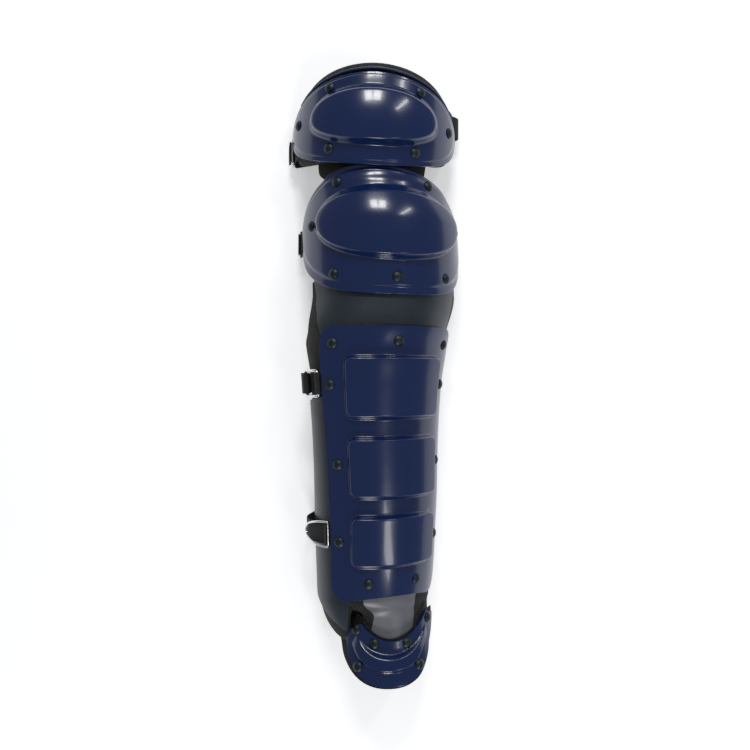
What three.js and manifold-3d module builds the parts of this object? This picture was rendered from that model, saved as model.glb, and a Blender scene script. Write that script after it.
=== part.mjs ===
// A catcher leg guard, lying on its back: X across the leg, Y from foot to thigh, Z up from the floor.
// Every piece is laid on one skin, the inner face of the padding, at a height above it.
import * as THREE from "three";
import { mergeVertices } from "three/addons/utils/BufferGeometryUtils.js";
import Module from "manifold-3d";

const wasm = await Module();
wasm.setup();

// Sizes, in millimetres
const LEG_RADIUS = 66;
const THIGH_LENGTH = 82;
const KNEE_LENGTH = 117;
const KNEE_TUCK_LENGTH = 2;
const YOKE_LENGTH = 28;
const SHIN_LENGTH = 247;
const FOOT_LENGTH = 74;
const SHIN_TOP = 43;

const GAP = 0.3;
const STANDOFF = 1.2;
const LINK_DEPTH = 3.4;
const PAD = 7;
const SHEET = 2;
const WEBBING = 1.2;
const SHELL = 2.5;
const DOME_LIFT = 8;
const BOX_LIFT = 6;
const INSTEP_LIFT = 4;

const STRAP_WIDTH = 19;
const RING_WIRE = 2.8;
const RING_WIDTH = 25.7;
const RING_DEPTH = 22;
const SIDE_RING_DEPTH = 13;
const RIVET_HEAD = 9.6;
const RIVET_RISE = 2.3;
const RIVET_SHANK = 4;
const PIPING = 3;
const BINDING = 7;
const CORNER = 14;

// Heights above the skin
const SHEET_LOW = PAD + GAP;
const SHEET_HIGH = SHEET_LOW + SHEET;
const WEB_LOW = SHEET_HIGH + GAP;
const WEB_HIGH = WEB_LOW + WEBBING;
const SHELL_LOW = WEB_HIGH + STANDOFF;
const SHELL_HIGH = SHELL_LOW + SHELL;

// Places along the leg
const SHIN_END = SHIN_TOP - SHIN_LENGTH;
const FOOT_END = SHIN_END - FOOT_LENGTH;
const KNEE_END = SHIN_TOP + YOKE_LENGTH;
const KNEE_TOP = KNEE_END + KNEE_LENGTH;
const THIGH_END = KNEE_TOP - KNEE_TUCK_LENGTH;
const THIGH_TOP = THIGH_END + THIGH_LENGTH;
const alongThigh = (share) => THIGH_TOP - share * THIGH_LENGTH;
const alongKnee = (share) => KNEE_TOP - share * KNEE_LENGTH;
const alongShin = (share) => SHIN_TOP - share * SHIN_LENGTH;
const alongFoot = (share) => SHIN_END - share * FOOT_LENGTH;

// The skin's sections. Each row: place along the leg, then the arc's centre across and up, its radius,
// its roll in degrees, and the left and right feet of the skin, each across from the centre and up.
// All lengths but the first are shares of LEG_RADIUS.
const SECTIONS = [
  [alongThigh(-0.2), -0.02, 0.04, 0.93, 0, -0.97, 0.05, 0.97, 0.05],
  [alongThigh(0.1), -0.02, 0.04, 0.98, 0, -1.0, 0.05, 1.0, 0.05],
  [alongThigh(0.5), -0.02, 0.04, 1.01, 0, -1.02, 0.05, 1.02, 0.05],
  [alongThigh(0.95), -0.02, 0.04, 0.97, 0, -0.98, 0.05, 0.98, 0.05],
  [alongKnee(0.1), 0.02, 0.12, 0.85, 5, -0.9, 0.05, 0.9, 0.05],
  [alongKnee(0.45), 0.06, 0.16, 0.94, 8, -0.96, 0.05, 0.95, 0.05],
  [alongKnee(0.95), 0.08, 0.18, 0.95, 9, -0.98, 0.25, 1.0, 0.05],
  [alongShin(0), -0.06, 0.17, 0.99, 18, -0.87, 0.4, 1.02, 0.05],
  [alongShin(0.08), -0.13, 0.15, 0.98, 22, -0.75, 0.1, 0.95, 0.05],
  [alongShin(0.2), -0.15, 0.15, 0.93, 23, -0.62, 0.05, 0.93, 0.05],
  [alongShin(0.4), -0.13, 0.15, 0.86, 23, -0.62, 0.05, 0.86, 0.05],
  [alongShin(0.7), -0.1, 0.15, 0.8, 23, -0.65, 0.05, 0.8, 0.05],
  [alongShin(1), -0.1, 0.15, 0.73, 22, -0.62, 0.05, 0.72, 0.05],
  [alongFoot(0.24), 0.12, 0.27, 0.51, 14, -0.64, 0.12, 0.6, 0.12],
  [alongFoot(0.58), 0.144, 0.27, 0.53, 5, -0.62, 0.2, 0.6, 0.2],
  [alongFoot(0.78), 0.15, 0.3, 0.57, 3, -0.62, 0.25, 0.62, 0.25],
  [alongFoot(1.03), 0.16, 0.33, 0.61, 2, -0.64, 0.3, 0.64, 0.3],
  [alongFoot(1.3), 0.16, 0.34, 0.62, 2, -0.64, 0.3, 0.64, 0.3],
];

const HINGE_TURN = 55;
const FOOT_TURN = 92;
const FOOT_HANDLE = 0.34;

const radians = THREE.MathUtils.degToRad;
const clamp = THREE.MathUtils.clamp;
const lerp = THREE.MathUtils.lerp;
const ease = (from, to, value) => {
  const share = clamp((value - from) / (to - from), 0, 1);
  return share * share * (3 - 2 * share);
};

// A row of the table at any place, on a smooth curve through the rows that doesn't overshoot them
function tableAt(table, place) {
  const last = table.length - 1;
  let k = 0;
  while (k < last - 1 && place < table[k + 1][0]) k += 1;
  const span = (i) => table[i + 1][0] - table[i][0];
  const slope = (i, c) => (table[i + 1][c] - table[i][c]) / span(i);
  const tangent = (i, c) => {
    if (i === 0) return slope(0, c);
    if (i === last) return slope(last - 1, c);
    const before = slope(i - 1, c);
    const after = slope(i, c);
    return before * after <= 0 ? 0 : (2 * before * after) / (before + after);
  };
  const t = clamp((place - table[k][0]) / span(k), 0, 1);
  return table[k].map((value, c) => {
    if (c === 0) return place;
    const bend = span(k) * t * (1 - t);
    const straight = lerp(value, table[k + 1][c], t * t * (3 - 2 * t));
    return straight + bend * ((1 - t) * tangent(k, c) - t * tangent(k + 1, c));
  });
}

// The skin at a place: a point across it, given in degrees of turn from its crest, at a height above it
function skin(turn, place, height) {
  const row = tableAt(SECTIONS, place);
  const [x, z, radius] = [row[1], row[2], row[3]].map((share) => share * LEG_RADIUS);
  const side = Math.sign(turn) || 1;
  const arc = Math.min(Math.abs(turn), HINGE_TURN) * side;
  const angle = radians(arc + row[4]);
  const out = new THREE.Vector2(Math.sin(angle), Math.cos(angle));
  const start = new THREE.Vector2(x, z).addScaledVector(out, radius);
  if (Math.abs(turn) <= HINGE_TURN) {
    return new THREE.Vector3(start.x + out.x * height, place, start.y + out.y * height);
  }
  const foot = new THREE.Vector2(
    x + LEG_RADIUS * (side < 0 ? row[5] : row[7]),
    LEG_RADIUS * (side < 0 ? row[6] : row[8]),
  );
  const handle = FOOT_HANDLE * start.distanceTo(foot);
  const near = start.clone().add(new THREE.Vector2(out.y, -out.x).multiplyScalar(handle * side));
  const far = foot.clone().add(new THREE.Vector2(0, handle));
  const t = (Math.abs(turn) - HINGE_TURN) / (FOOT_TURN - HINGE_TURN);
  const bend = new THREE.CubicBezierCurve(start, near, far, foot);
  const point = bend.getPoint(Math.min(t, 1));
  const along = bend.getTangent(Math.min(t, 1));
  if (t > 1) point.addScaledVector(along, (t - 1) * start.distanceTo(foot));
  const normal = new THREE.Vector2(-along.y, along.x).multiplyScalar(side);
  return new THREE.Vector3(point.x + normal.x * height, place, point.y + normal.y * height);
}

// The same, with a small slant across the leg: lean moves it across, skew moves it along
function slanted(shape, turn, place, height) {
  const point = skin(turn, place, height);
  const shifted = place + shape.skew * (point.x - shape.x);
  const moved = skin(turn, shifted, height);
  moved.x += shape.lean * (shifted - shape.y);
  return moved;
}

// A closed solid between two grids of points; loop closes each row on itself
function solidBetween(outer, inner, loop = false) {
  const rows = outer.length;
  const columns = outer[0].length;
  const points = [...outer.flat(), ...inner.flat()];
  const half = rows * columns;
  const faces = [];
  const quad = (a, b, c, d) => faces.push([a, b, c], [a, c, d]);
  const at = (i, j) => i * columns + (j % columns);
  const spans = loop ? columns : columns - 1;
  for (let i = 0; i < rows - 1; i += 1) {
    for (let j = 0; j < spans; j += 1) {
      quad(at(i, j), at(i, j + 1), at(i + 1, j + 1), at(i + 1, j));
      quad(half + at(i, j), half + at(i + 1, j), half + at(i + 1, j + 1), half + at(i, j + 1));
    }
    if (!loop) {
      quad(at(i + 1, 0), half + at(i + 1, 0), half + at(i, 0), at(i, 0));
      const e = columns - 1;
      quad(at(i, e), half + at(i, e), half + at(i + 1, e), at(i + 1, e));
    }
  }
  for (let j = 0; j < spans; j += 1) {
    const e = rows - 1;
    quad(at(0, j + 1), at(0, j), half + at(0, j), half + at(0, j + 1));
    quad(at(e, j), at(e, j + 1), half + at(e, j + 1), half + at(e, j));
  }
  return closedGeometry(points, faces);
}

// A tube or band whose sections are closed rings; closed joins its two ends, else they are capped
function solidAlong(rings, closed) {
  const count = rings.length;
  const sides = rings[0].length;
  const faces = [];
  for (let i = 0; i < (closed ? count : count - 1); i += 1) {
    for (let j = 0; j < sides; j += 1) {
      const a = i * sides + j;
      const b = i * sides + ((j + 1) % sides);
      const shift = (((i + 1) % count) - i) * sides;
      faces.push([a, b, b + shift], [a, b + shift, a + shift]);
    }
  }
  if (!closed) {
    const last = (count - 1) * sides;
    for (let j = 1; j < sides - 1; j += 1) {
      faces.push([0, j + 1, j], [last, last + j, last + j + 1]);
    }
  }
  return closedGeometry(rings.flat(), faces);
}

function closedGeometry(points, faces) {
  const geometry = new THREE.BufferGeometry().setFromPoints(points);
  geometry.setIndex(faces.flat());
  const merged = mergeVertices(geometry, 1e-3);
  const index = [...merged.index.array];
  const kept = [];
  for (let i = 0; i < index.length; i += 3) {
    const [a, b, c] = index.slice(i, i + 3);
    if (a !== b && b !== c && a !== c) kept.push(a, b, c);
  }
  merged.setIndex(kept);
  return volumeOf(merged) < 0 ? reversed(merged) : merged;
}

function volumeOf(geometry) {
  const place = geometry.getAttribute("position");
  const index = geometry.index.array;
  const [a, b, c] = [0, 1, 2].map(() => new THREE.Vector3());
  let sum = 0;
  for (let i = 0; i < index.length; i += 3) {
    a.fromBufferAttribute(place, index[i]);
    b.fromBufferAttribute(place, index[i + 1]);
    c.fromBufferAttribute(place, index[i + 2]);
    sum += a.dot(b.cross(c));
  }
  return sum / 6;
}

function reversed(geometry) {
  const index = [...geometry.index.array];
  for (let i = 0; i < index.length; i += 3) {
    [index[i + 1], index[i + 2]] = [index[i + 2], index[i + 1]];
  }
  geometry.setIndex(index);
  return geometry;
}

function manifoldOf(geometry) {
  const bare = geometry.clone();
  bare.deleteAttribute("normal");
  bare.deleteAttribute("uv");
  const merged = mergeVertices(bare, 1e-3);
  return new wasm.Manifold(
    new wasm.Mesh({
      numProp: 3,
      vertProperties: new Float32Array(merged.attributes.position.array),
      triVerts: new Uint32Array(merged.index.array),
    }),
  );
}

function geometryOf(solid) {
  const mesh = solid.getMesh();
  return new THREE.BufferGeometry()
    .setAttribute("position", new THREE.BufferAttribute(mesh.vertProperties, 3))
    .setIndex(new THREE.BufferAttribute(mesh.triVerts, 1));
}

function cut(geometry, tools) {
  const solid = tools.reduce((left, tool) => left.subtract(manifoldOf(tool)), manifoldOf(geometry));
  return geometryOf(solid);
}

// Rounded caps for the thigh and the knee: rings of superellipses round one centre
const THIGH_CAP = {
  x: 0,
  y: (THIGH_TOP + THIGH_END) / 2,
  up: THIGH_LENGTH / 2,
  down: THIGH_LENGTH / 2,
  half: 80,
  lean: 0.05,
  skew: -0.05,
  power: 1.7,
  drop: 0,
  domeHalf: 0.48,
  domeUp: 0.5,
  domeDown: 0.5,
};
const KNEE_CENTRE_SHARE = 0.45;
const KNEE_CAP = {
  x: 6,
  y: KNEE_TOP - KNEE_CENTRE_SHARE * KNEE_LENGTH,
  up: KNEE_CENTRE_SHARE * KNEE_LENGTH,
  down: (1 - KNEE_CENTRE_SHARE) * KNEE_LENGTH,
  half: 80,
  lean: 0,
  skew: -0.022,
  power: 2.05,
  drop: 4,
  domeHalf: 0.62,
  domeUp: 0.47,
  domeDown: 0.46,
};
const DOME_POWER = 2.2;
const DOME_SLOPE = 5.5;
const CAP_SECTORS = 24;

// Each row: share of the way from centre to the dome's top edge, or past it; the dome's lift as a share
const CAP_RINGS = [
  { inside: 0, outside: 0, lift: 1.15 },
  { inside: 0.4, outside: 0, lift: 1.12 },
  { inside: 0.75, outside: 0, lift: 1.06 },
  { inside: 1, outside: 0, lift: 0.95 },
  { inside: 1, outside: 0.001, lift: 0 },
  { inside: 1, outside: 0.5, lift: 0 },
  { inside: 1, outside: 1, lift: 0 },
];

function roundPoint(half, up, down, power, angle) {
  const c = Math.cos(angle);
  const s = Math.sin(angle);
  const reach = (Math.abs(c) ** power + Math.abs(s) ** power) ** (-1 / power);
  return [half * reach * c, (s > 0 ? up : down) * reach * s];
}

function capPoint(cap, ring, angle, height) {
  const slope = ring.outside > 0 ? DOME_SLOPE : 0;
  const slopeTurn = THREE.MathUtils.radToDeg(slope / LEG_RADIUS);
  const dome = roundPoint(
    ring.inside * cap.domeHalf * cap.half + slopeTurn,
    ring.inside * cap.domeUp * cap.up + slope,
    ring.inside * cap.domeDown * cap.down + slope,
    DOME_POWER,
    angle,
  );
  const rim = roundPoint(cap.half, cap.up, cap.down, cap.power, angle);
  const turn = lerp(dome[0], rim[0], ring.outside);
  const place = cap.y + lerp(dome[1], rim[1], ring.outside);
  const tuck = cap.drop * ease(cap.y + 0.7 * cap.up, cap.y + cap.up, place);
  return slanted(cap, turn, place, height + DOME_LIFT * ring.lift - tuck);
}

function capShell(cap) {
  const grid = (height) =>
    CAP_RINGS.map((ring) =>
      Array.from({ length: CAP_SECTORS }, (_, j) =>
        capPoint(cap, ring, (2 * Math.PI * (j + 0.5)) / CAP_SECTORS, height),
      ),
    );
  const outer = grid(SHELL_HIGH);
  const inner = grid(SHELL_LOW);
  outer[0].fill(capPoint(cap, CAP_RINGS[0], 0, SHELL_HIGH));
  inner[0].fill(capPoint(cap, CAP_RINGS[0], 0, SHELL_LOW));
  return solidBetween(outer, inner, true);
}

// The shin shell: a barrel with three raised boxes, rounded corners and an arched lower edge
const SHIN_HALF = 53;
const BOX_SHARE = 0.66;
const BOX_WALL = 4;
const BOXES = [
  { from: 0.109, to: 0.328 },
  { from: 0.4, to: 0.615 },
  { from: 0.684, to: 0.866 },
];
const ARCH = 5;
const ARCH_TURN = 38;
const ARCH_REACH = 30;
const CORNER_STEPS = [0, 0.13, 0.45, 1];

function shinShell() {
  const wallTurn = THREE.MathUtils.radToDeg(BOX_WALL / 2 / LEG_RADIUS) / SHIN_HALF;
  const half = [0, 0.33, BOX_SHARE - wallTurn, BOX_SHARE + wallTurn, 0.83, 1];
  const columns = [...half.slice(1).reverse().map((share) => -share), ...half];
  const rows = [
    ...CORNER_STEPS.map((step) => SHIN_TOP - step * CORNER),
    ...BOXES.flatMap(({ from, to }) => [
      alongShin(from) + BOX_WALL / 2,
      alongShin(from) - BOX_WALL / 2,
      alongShin((from + to) / 2),
      alongShin(to) + BOX_WALL / 2,
      alongShin(to) - BOX_WALL / 2,
    ]),
    ...CORNER_STEPS.map((step) => SHIN_END + step * CORNER).reverse(),
  ];
  const raised = (share, place) =>
    Math.abs(share) < BOX_SHARE &&
    BOXES.some(({ from, to }) => place < alongShin(from) && place > alongShin(to));
  const point = (share, place, height) => {
    const depth = Math.max(CORNER - Math.min(SHIN_TOP - place, place - SHIN_END), 0);
    const inset = CORNER - Math.sqrt(CORNER ** 2 - depth ** 2);
    const edge = SHIN_HALF - THREE.MathUtils.radToDeg(inset / LEG_RADIUS);
    const side = Math.sign(share);
    const beyond = clamp((Math.abs(share) - BOX_SHARE) / (1 - BOX_SHARE), 0, 1);
    const turn = beyond > 0 ? side * lerp(BOX_SHARE * SHIN_HALF, edge, beyond) : share * SHIN_HALF;
    const arched = Math.max(1 - (turn / ARCH_TURN) ** 2, 0) * ease(ARCH_REACH, 0, place - SHIN_END);
    return skin(turn, place + ARCH * arched, height + (raised(share, place) ? BOX_LIFT : 0));
  };
  const grid = (height) => rows.map((place) => columns.map((share) => point(share, place, height)));
  return solidBetween(grid(SHELL_HIGH), grid(SHELL_LOW));
}

// The instep cap: a crescent round the top of the foot, from its inner edge to its flared rim
const INSTEP = {
  innerTurn: 50,
  outerTurn: 66,
  innerDrop: 37,
  innerRise: 19,
  outerRise: 38,
  innerPower: 1.7,
  outerPower: 2.3,
};
const INSTEP_COLUMNS = 16;
const INSTEP_RIMS = [0, 0.3, 0.38, 0.5, 0.6, 0.7, 1];
const INSTEP_RAISED = [0.35, 0.65];
const EAR_START = 0.82;

function instepPoint(across, share, height, wider = 0) {
  const size = Math.abs(across);
  const widerTurn = THREE.MathUtils.radToDeg(wider / LEG_RADIUS) * 1.3;
  const inner = SHIN_END - INSTEP.innerDrop + INSTEP.innerRise * size ** INSTEP.innerPower;
  const outer = FOOT_END - wider + INSTEP.outerRise * size ** INSTEP.outerPower;
  const turn = across * lerp(INSTEP.innerTurn, INSTEP.outerTurn + widerTurn, share);
  return skin(turn, lerp(inner + wider / 2, outer, share), height);
}

function instepGrid(height, wider, shares, raised) {
  return shares.map((share) =>
    Array.from({ length: INSTEP_COLUMNS + 1 }, (_, j) => {
      const across = (2 * j) / INSTEP_COLUMNS - 1;
      const within = share > INSTEP_RAISED[0] && share < INSTEP_RAISED[1];
      const lift = raised && within ? INSTEP_LIFT * Math.max(1 - (across / EAR_START) ** 4, 0) : 0;
      return instepPoint(across, share, height + lift, wider);
    }),
  );
}

// The sheet with its yoke and two wings, and the pad behind it, which shows round its edge
const YOKE_TUCK = 17;
const YOKE_LEFT = 70;
const YOKE_RIGHT = 80;
const WING_START = 10;
const WING_TIP = 33;
const TONGUE_HALF = 33;
const PAD_MARGIN = 5;
const SHEET_COLUMNS = [-1, -0.9, -0.8, -0.7, -0.6, -0.45, -0.3, -0.15, 0, 0.2, 0.4, 0.58, 0.7, 0.85, 1];
const SHEET_ROWS = [0, 0.06, 0.13, 0.19, 0.25, 0.29, 0.33, 0.38, 0.45, 0.6, 0.75, 0.88, 1];

function sheetGrid(height, margin) {
  const marginTurn = THREE.MathUtils.radToDeg(margin / LEG_RADIUS);
  const rows = SHEET_ROWS.map((share) => ({ share, below: 0 }));
  const columns = SHEET_COLUMNS.map((across) => ({ across, beyond: 0 }));
  if (margin > 0) {
    rows.push({ share: 1, below: margin });
    columns.unshift({ across: -1, beyond: -marginTurn });
    columns.push({ across: 1, beyond: marginTurn });
  }
  return rows.map(({ share, below }) =>
    columns.map(({ across, beyond }) => {
      const start = KNEE_END + YOKE_TUCK;
      const nominal = lerp(start, SHIN_END, share);
      const open = ease(WING_START, SHIN_TOP, nominal);
      const edge = across < 0 ? YOKE_LEFT : YOKE_RIGHT;
      const turn = across * lerp(FOOT_TURN, edge, open) + beyond * Math.max(open, 0.05);
      const tip = WING_TIP * ease(-0.5, -0.68, across) - 0.3 * WING_TIP * ease(-0.85, -1, across);
      return skin(turn, lerp(start, SHIN_END + GAP * 4 - tip, share) - below, height);
    }),
  );
}

function patchGrid(half, from, to, height, rows, columns) {
  return Array.from({ length: rows + 1 }, (_, i) =>
    Array.from({ length: columns + 1 }, (_, j) =>
      skin(half * ((2 * j) / columns - 1), lerp(from, to, i / rows), height),
    ),
  );
}

// The pads behind the thigh and knee caps: the cap's own outline, wider by a rim
const PAD_SECTORS = 20;
const PAD_RINGS = [0, 0.25, 0.5, 0.77, 1];
const PAD_POWER_UP = 2;
const PAD_POWER_DOWN = 3.6;

function roundPad(cap, half, up, down, low, high) {
  const grid = (height) =>
    PAD_RINGS.map((ring) =>
      Array.from({ length: PAD_SECTORS }, (_, j) => {
        const angle = (2 * Math.PI * (j + 0.5)) / PAD_SECTORS;
        const power = Math.sin(angle) > 0 ? PAD_POWER_UP : PAD_POWER_DOWN;
        const [turn, along] = roundPoint(half * ring, up * ring, down * ring, power, angle);
        return slanted(cap, turn, cap.y + along, height);
      }),
    );
  return solidBetween(grid(high), grid(low), true);
}

// A thin roll laid along the upper edge of the thigh cap
const PIPING_OUT = 4.5;
const PIPING_SIDES = 5;
const PIPING_STEPS = 14;
const PIPING_FROM = 34;

function thighPiping() {
  const rings = Array.from({ length: PIPING_STEPS + 1 }, (_, i) => {
    const angle = radians(lerp(PIPING_FROM, 180 - PIPING_FROM, i / PIPING_STEPS));
    return Array.from({ length: PIPING_SIDES }, (_, j) => {
      const round = (2 * Math.PI * (j + 0.5)) / PIPING_SIDES;
      const out = PIPING_OUT + (PIPING / 2) * Math.cos(round);
      const outTurn = THREE.MathUtils.radToDeg(out / LEG_RADIUS);
      const [turn, along] = roundPoint(
        THIGH_CAP.half + outTurn, THIGH_CAP.up + out, 0, THIGH_CAP.power, angle,
      );
      const height = SHEET_HIGH + GAP + (PIPING / 2) * (1 + Math.sin(round));
      return slanted(THIGH_CAP, turn, THIGH_CAP.y + along, height);
    });
  });
  return solidAlong(rings, false);
}

// Straps: each runs from under the right edge of a shell, round the right wing, across the back,
// up the left wing, and folds round its ring. A tab from under the shell's left edge holds the ring.
const PLAIN = { x: 0, y: 0, lean: 0, skew: 0 };
const SIDE_FIT = { tabTurn: 66, edge: -THIGH_CAP.half, away: 3, depth: SIDE_RING_DEPTH, tail: 1 };
const SHIN_FIT = { tabTurn: 41, edge: -SHIN_HALF, away: 8, depth: RING_DEPTH, tail: 6 };
const STRAPS = [
  { name: "thigh", shape: THIGH_CAP, left: alongThigh(0.68), right: alongThigh(0.37), ...SIDE_FIT },
  { name: "knee", shape: KNEE_CAP, left: alongKnee(0.53), right: alongKnee(0.53), ...SIDE_FIT },
  { name: "calf", shape: PLAIN, left: alongShin(0.205), right: alongShin(0.215), ...SHIN_FIT },
  { name: "ankle", shape: PLAIN, left: alongShin(0.76), right: alongShin(0.73), ...SHIN_FIT },
];
const FOLD_STEPS = 6;
const WING_STEPS = 6;
const WIDTH_STEPS = 2;
const RING_CORNER = 3;
const RING_CORNER_STEPS = 2;
const RING_SIDES = 5;
const FLOOR_HEIGHT = WEBBING / 2;
const WIRE_HEIGHT = WEB_HIGH + GAP + RING_WIRE / 2;
const FOLD_RADIUS = RING_WIRE / 2 + 2 * GAP + WEBBING / 2;

// The turn that lies a length further round the leg than another turn
function turnFurther(turn, place, length) {
  const step = Math.sign(turn) * Math.sign(length);
  let [at, left] = [turn, Math.abs(length)];
  let before = skin(at, place, WEB_HIGH);
  while (left > 0) {
    const after = skin(at + step, place, WEB_HIGH);
    const size = before.distanceTo(after);
    if (size >= left) return at + (step * left) / size;
    left -= size;
    at += step;
    before = after;
  }
  return at;
}

// A band of webbing along a route of points, each a place across and the half thickness to either side
function webbing(routeAt) {
  const widths = Array.from({ length: WIDTH_STEPS + 1 }, (_, i) => STRAP_WIDTH * (i / WIDTH_STEPS - 0.5));
  const lines = widths.map((width) => routeAt(width));
  const offset = (line, side) =>
    line.map((point, i) => {
      const before = line[Math.max(i - 1, 0)];
      const after = line[Math.min(i + 1, line.length - 1)];
      const along = after.clone().sub(before).setY(0).normalize();
      const normal = new THREE.Vector3(-along.z, 0, along.x);
      return point.clone().addScaledVector(normal, (side * WEBBING) / 2);
    });
  const turned = (side) => {
    const grids = lines.map((line) => offset(line, side));
    return grids[0].map((_, i) => grids.map((line) => line[i]));
  };
  return solidBetween(turned(1), turned(-1));
}

// The cloth link inside both pads, which turns from the knee's slant to the thigh's
const LINK_HALF = 56;
const LINK_UP = 24;
const LINK_DOWN = 30;
const LINK_TURN = 12;
const LINK_ROWS = 6;
const LINK_COLUMNS = 10;

function linkGrid(height) {
  return Array.from({ length: LINK_ROWS + 1 }, (_, i) => {
    const place = lerp(THIGH_END + LINK_UP, KNEE_TOP - LINK_DOWN, i / LINK_ROWS);
    const share = ease(KNEE_TOP - LINK_TURN, THIGH_END + LINK_TURN / 2, place);
    const shape = {
      ...THIGH_CAP,
      lean: lerp(KNEE_CAP.lean, THIGH_CAP.lean, share),
      skew: lerp(KNEE_CAP.skew, THIGH_CAP.skew, share),
    };
    return Array.from({ length: LINK_COLUMNS + 1 }, (_, j) =>
      slanted(shape, LINK_HALF * ((2 * j) / LINK_COLUMNS - 1), place, height),
    );
  });
}

// Straps and tabs
const WEB_MIDDLE = (WEB_LOW + WEB_HIGH) / 2 + GAP;
const RING_HEIGHT = WIRE_HEIGHT + 2 * GAP;

function ringSkin(strap, reach, width, height) {
  const place = strap.left + width;
  return slanted(strap.shape, turnFurther(strap.edge, place, reach), place, height);
}

// Half a turn of webbing round the ring's wire, at a reach from the shell's edge, then its tail
function fold(strap, reach, width, side, tail) {
  const line = [];
  for (let i = 0; i <= FOLD_STEPS; i += 1) {
    const round = (Math.PI * i) / FOLD_STEPS;
    const shift = reach - side * FOLD_RADIUS * Math.sin(round);
    line.push(ringSkin(strap, shift, width, RING_HEIGHT - FOLD_RADIUS * Math.cos(round)));
  }
  line.push(ringSkin(strap, reach + side * tail, width, RING_HEIGHT + FOLD_RADIUS));
  return line;
}

function strapRoute(strap, width) {
  const on = (turn, place, height) => slanted(strap.shape, turn, place, height);
  const place = (share) => lerp(strap.left, strap.right, share) + width;
  const line = [];
  for (let i = 0; i <= WING_STEPS; i += 1) {
    line.push(on(lerp(strap.tabTurn, FOOT_TURN, i / WING_STEPS), place(1), WEB_MIDDLE));
  }
  const right = on(FOOT_TURN, place(1), SHEET_HIGH);
  const left = on(-FOOT_TURN, place(0), SHEET_HIGH);
  for (const share of [0, 0.33, 0.67, 1]) line.push(right.clone().lerp(left, share).setZ(FLOOR_HEIGHT));
  const reach = strap.away + strap.depth - RING_WIRE;
  const end = turnFurther(strap.edge, place(0), reach);
  for (let i = 0; i < WING_STEPS; i += 1) {
    line.push(on(lerp(-FOOT_TURN, end, i / WING_STEPS), place(0), WEB_MIDDLE));
  }
  return [...line, ...fold(strap, reach, width, 1, strap.tail)];
}

function tabRoute(strap, width) {
  const place = strap.left + width;
  const end = turnFurther(strap.edge, place, strap.away);
  const line = [0, 1, 2].map((step) =>
    slanted(strap.shape, lerp(-strap.tabTurn, end, step / 3), place, WEB_MIDDLE),
  );
  return [...line, ...fold(strap, strap.away, width, -1, strap.tail / 2)];
}

// The ring: a rounded rectangle of wire, its far side held by the strap and its near side by the tab
function ringGeometry(strap) {
  const half = (RING_WIDTH - RING_WIRE) / 2;
  const depth = strap.depth - RING_WIRE;
  const path = [];
  const corner = (quarter, reach, width) => {
    for (let i = 0; i <= RING_CORNER_STEPS; i += 1) {
      const angle = (Math.PI / 2) * (quarter + i / RING_CORNER_STEPS);
      path.push([reach + RING_CORNER * Math.cos(angle), width + RING_CORNER * Math.sin(angle)]);
    }
  };
  const [near, far] = [strap.away + RING_CORNER, strap.away + depth - RING_CORNER];
  const side = half - RING_CORNER;
  corner(0, far, side);
  path.push([(near + far) / 2, half]);
  corner(1, near, side);
  corner(2, near, -side);
  path.push([(near + far) / 2, -half]);
  corner(3, far, -side);
  const centre = path.map(([reach, width]) => ringSkin(strap, reach, width, RING_HEIGHT));
  const up = path.map(([reach, width], i) =>
    ringSkin(strap, reach, width, RING_HEIGHT + 1).sub(centre[i]).normalize(),
  );
  const rings = centre.map((point, i) => {
    const next = centre[(i + 1) % centre.length];
    const before = centre[(i + centre.length - 1) % centre.length];
    const along = next.clone().sub(before).normalize();
    const outward = new THREE.Vector3().crossVectors(along, up[i]).normalize();
    const rise = new THREE.Vector3().crossVectors(outward, along);
    return Array.from({ length: RING_SIDES }, (_, j) => {
      const round = (2 * Math.PI * (j + 0.5)) / RING_SIDES;
      return point
        .clone()
        .addScaledVector(outward, (RING_WIRE / 2) * Math.cos(round))
        .addScaledVector(rise, (RING_WIRE / 2) * Math.sin(round));
    });
  });
  return solidAlong(rings, true);
}

// Rivets: a domed head on the shell and a shank through a hole in it, square to the surface
const RIVET_SIDES = 6;
const SHANK_LENGTH = SHELL + STANDOFF / 2;
const SEAT = 2 * GAP;

function lathe(profile, sides) {
  return new THREE.LatheGeometry(profile.map(([x, y]) => new THREE.Vector2(x, y)), sides);
}

const RIVET_PROFILE = [
  [0, -SHANK_LENGTH],
  [RIVET_SHANK / 2, -SHANK_LENGTH],
  [RIVET_SHANK / 2, SEAT],
  [RIVET_HEAD / 2, SEAT],
  [0.75 * (RIVET_HEAD / 2), SEAT + 0.7 * RIVET_RISE],
  [0, SEAT + RIVET_RISE],
];
const HOLE_PROFILE = [
  [0, -SHANK_LENGTH - STANDOFF],
  [RIVET_SHANK / 2 + GAP, -SHANK_LENGTH - STANDOFF],
  [RIVET_SHANK / 2 + GAP, RIVET_RISE],
  [0, RIVET_RISE],
];

function stationed(geometry, surface, u, v) {
  const step = 0.01;
  const point = surface(u, v, SHELL_HIGH);
  const alongU = surface(u + step, v, SHELL_HIGH).sub(point);
  const alongV = surface(u, v + step, SHELL_HIGH).sub(point);
  const normal = alongU.cross(alongV).normalize();
  const outward = surface(u, v, SHELL_HIGH + 1).sub(point);
  if (normal.dot(outward) < 0) normal.negate();
  const turn = new THREE.Quaternion().setFromUnitVectors(new THREE.Vector3(0, 1, 0), normal);
  return geometry.applyQuaternion(turn).translate(point.x, point.y, point.z);
}

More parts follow.
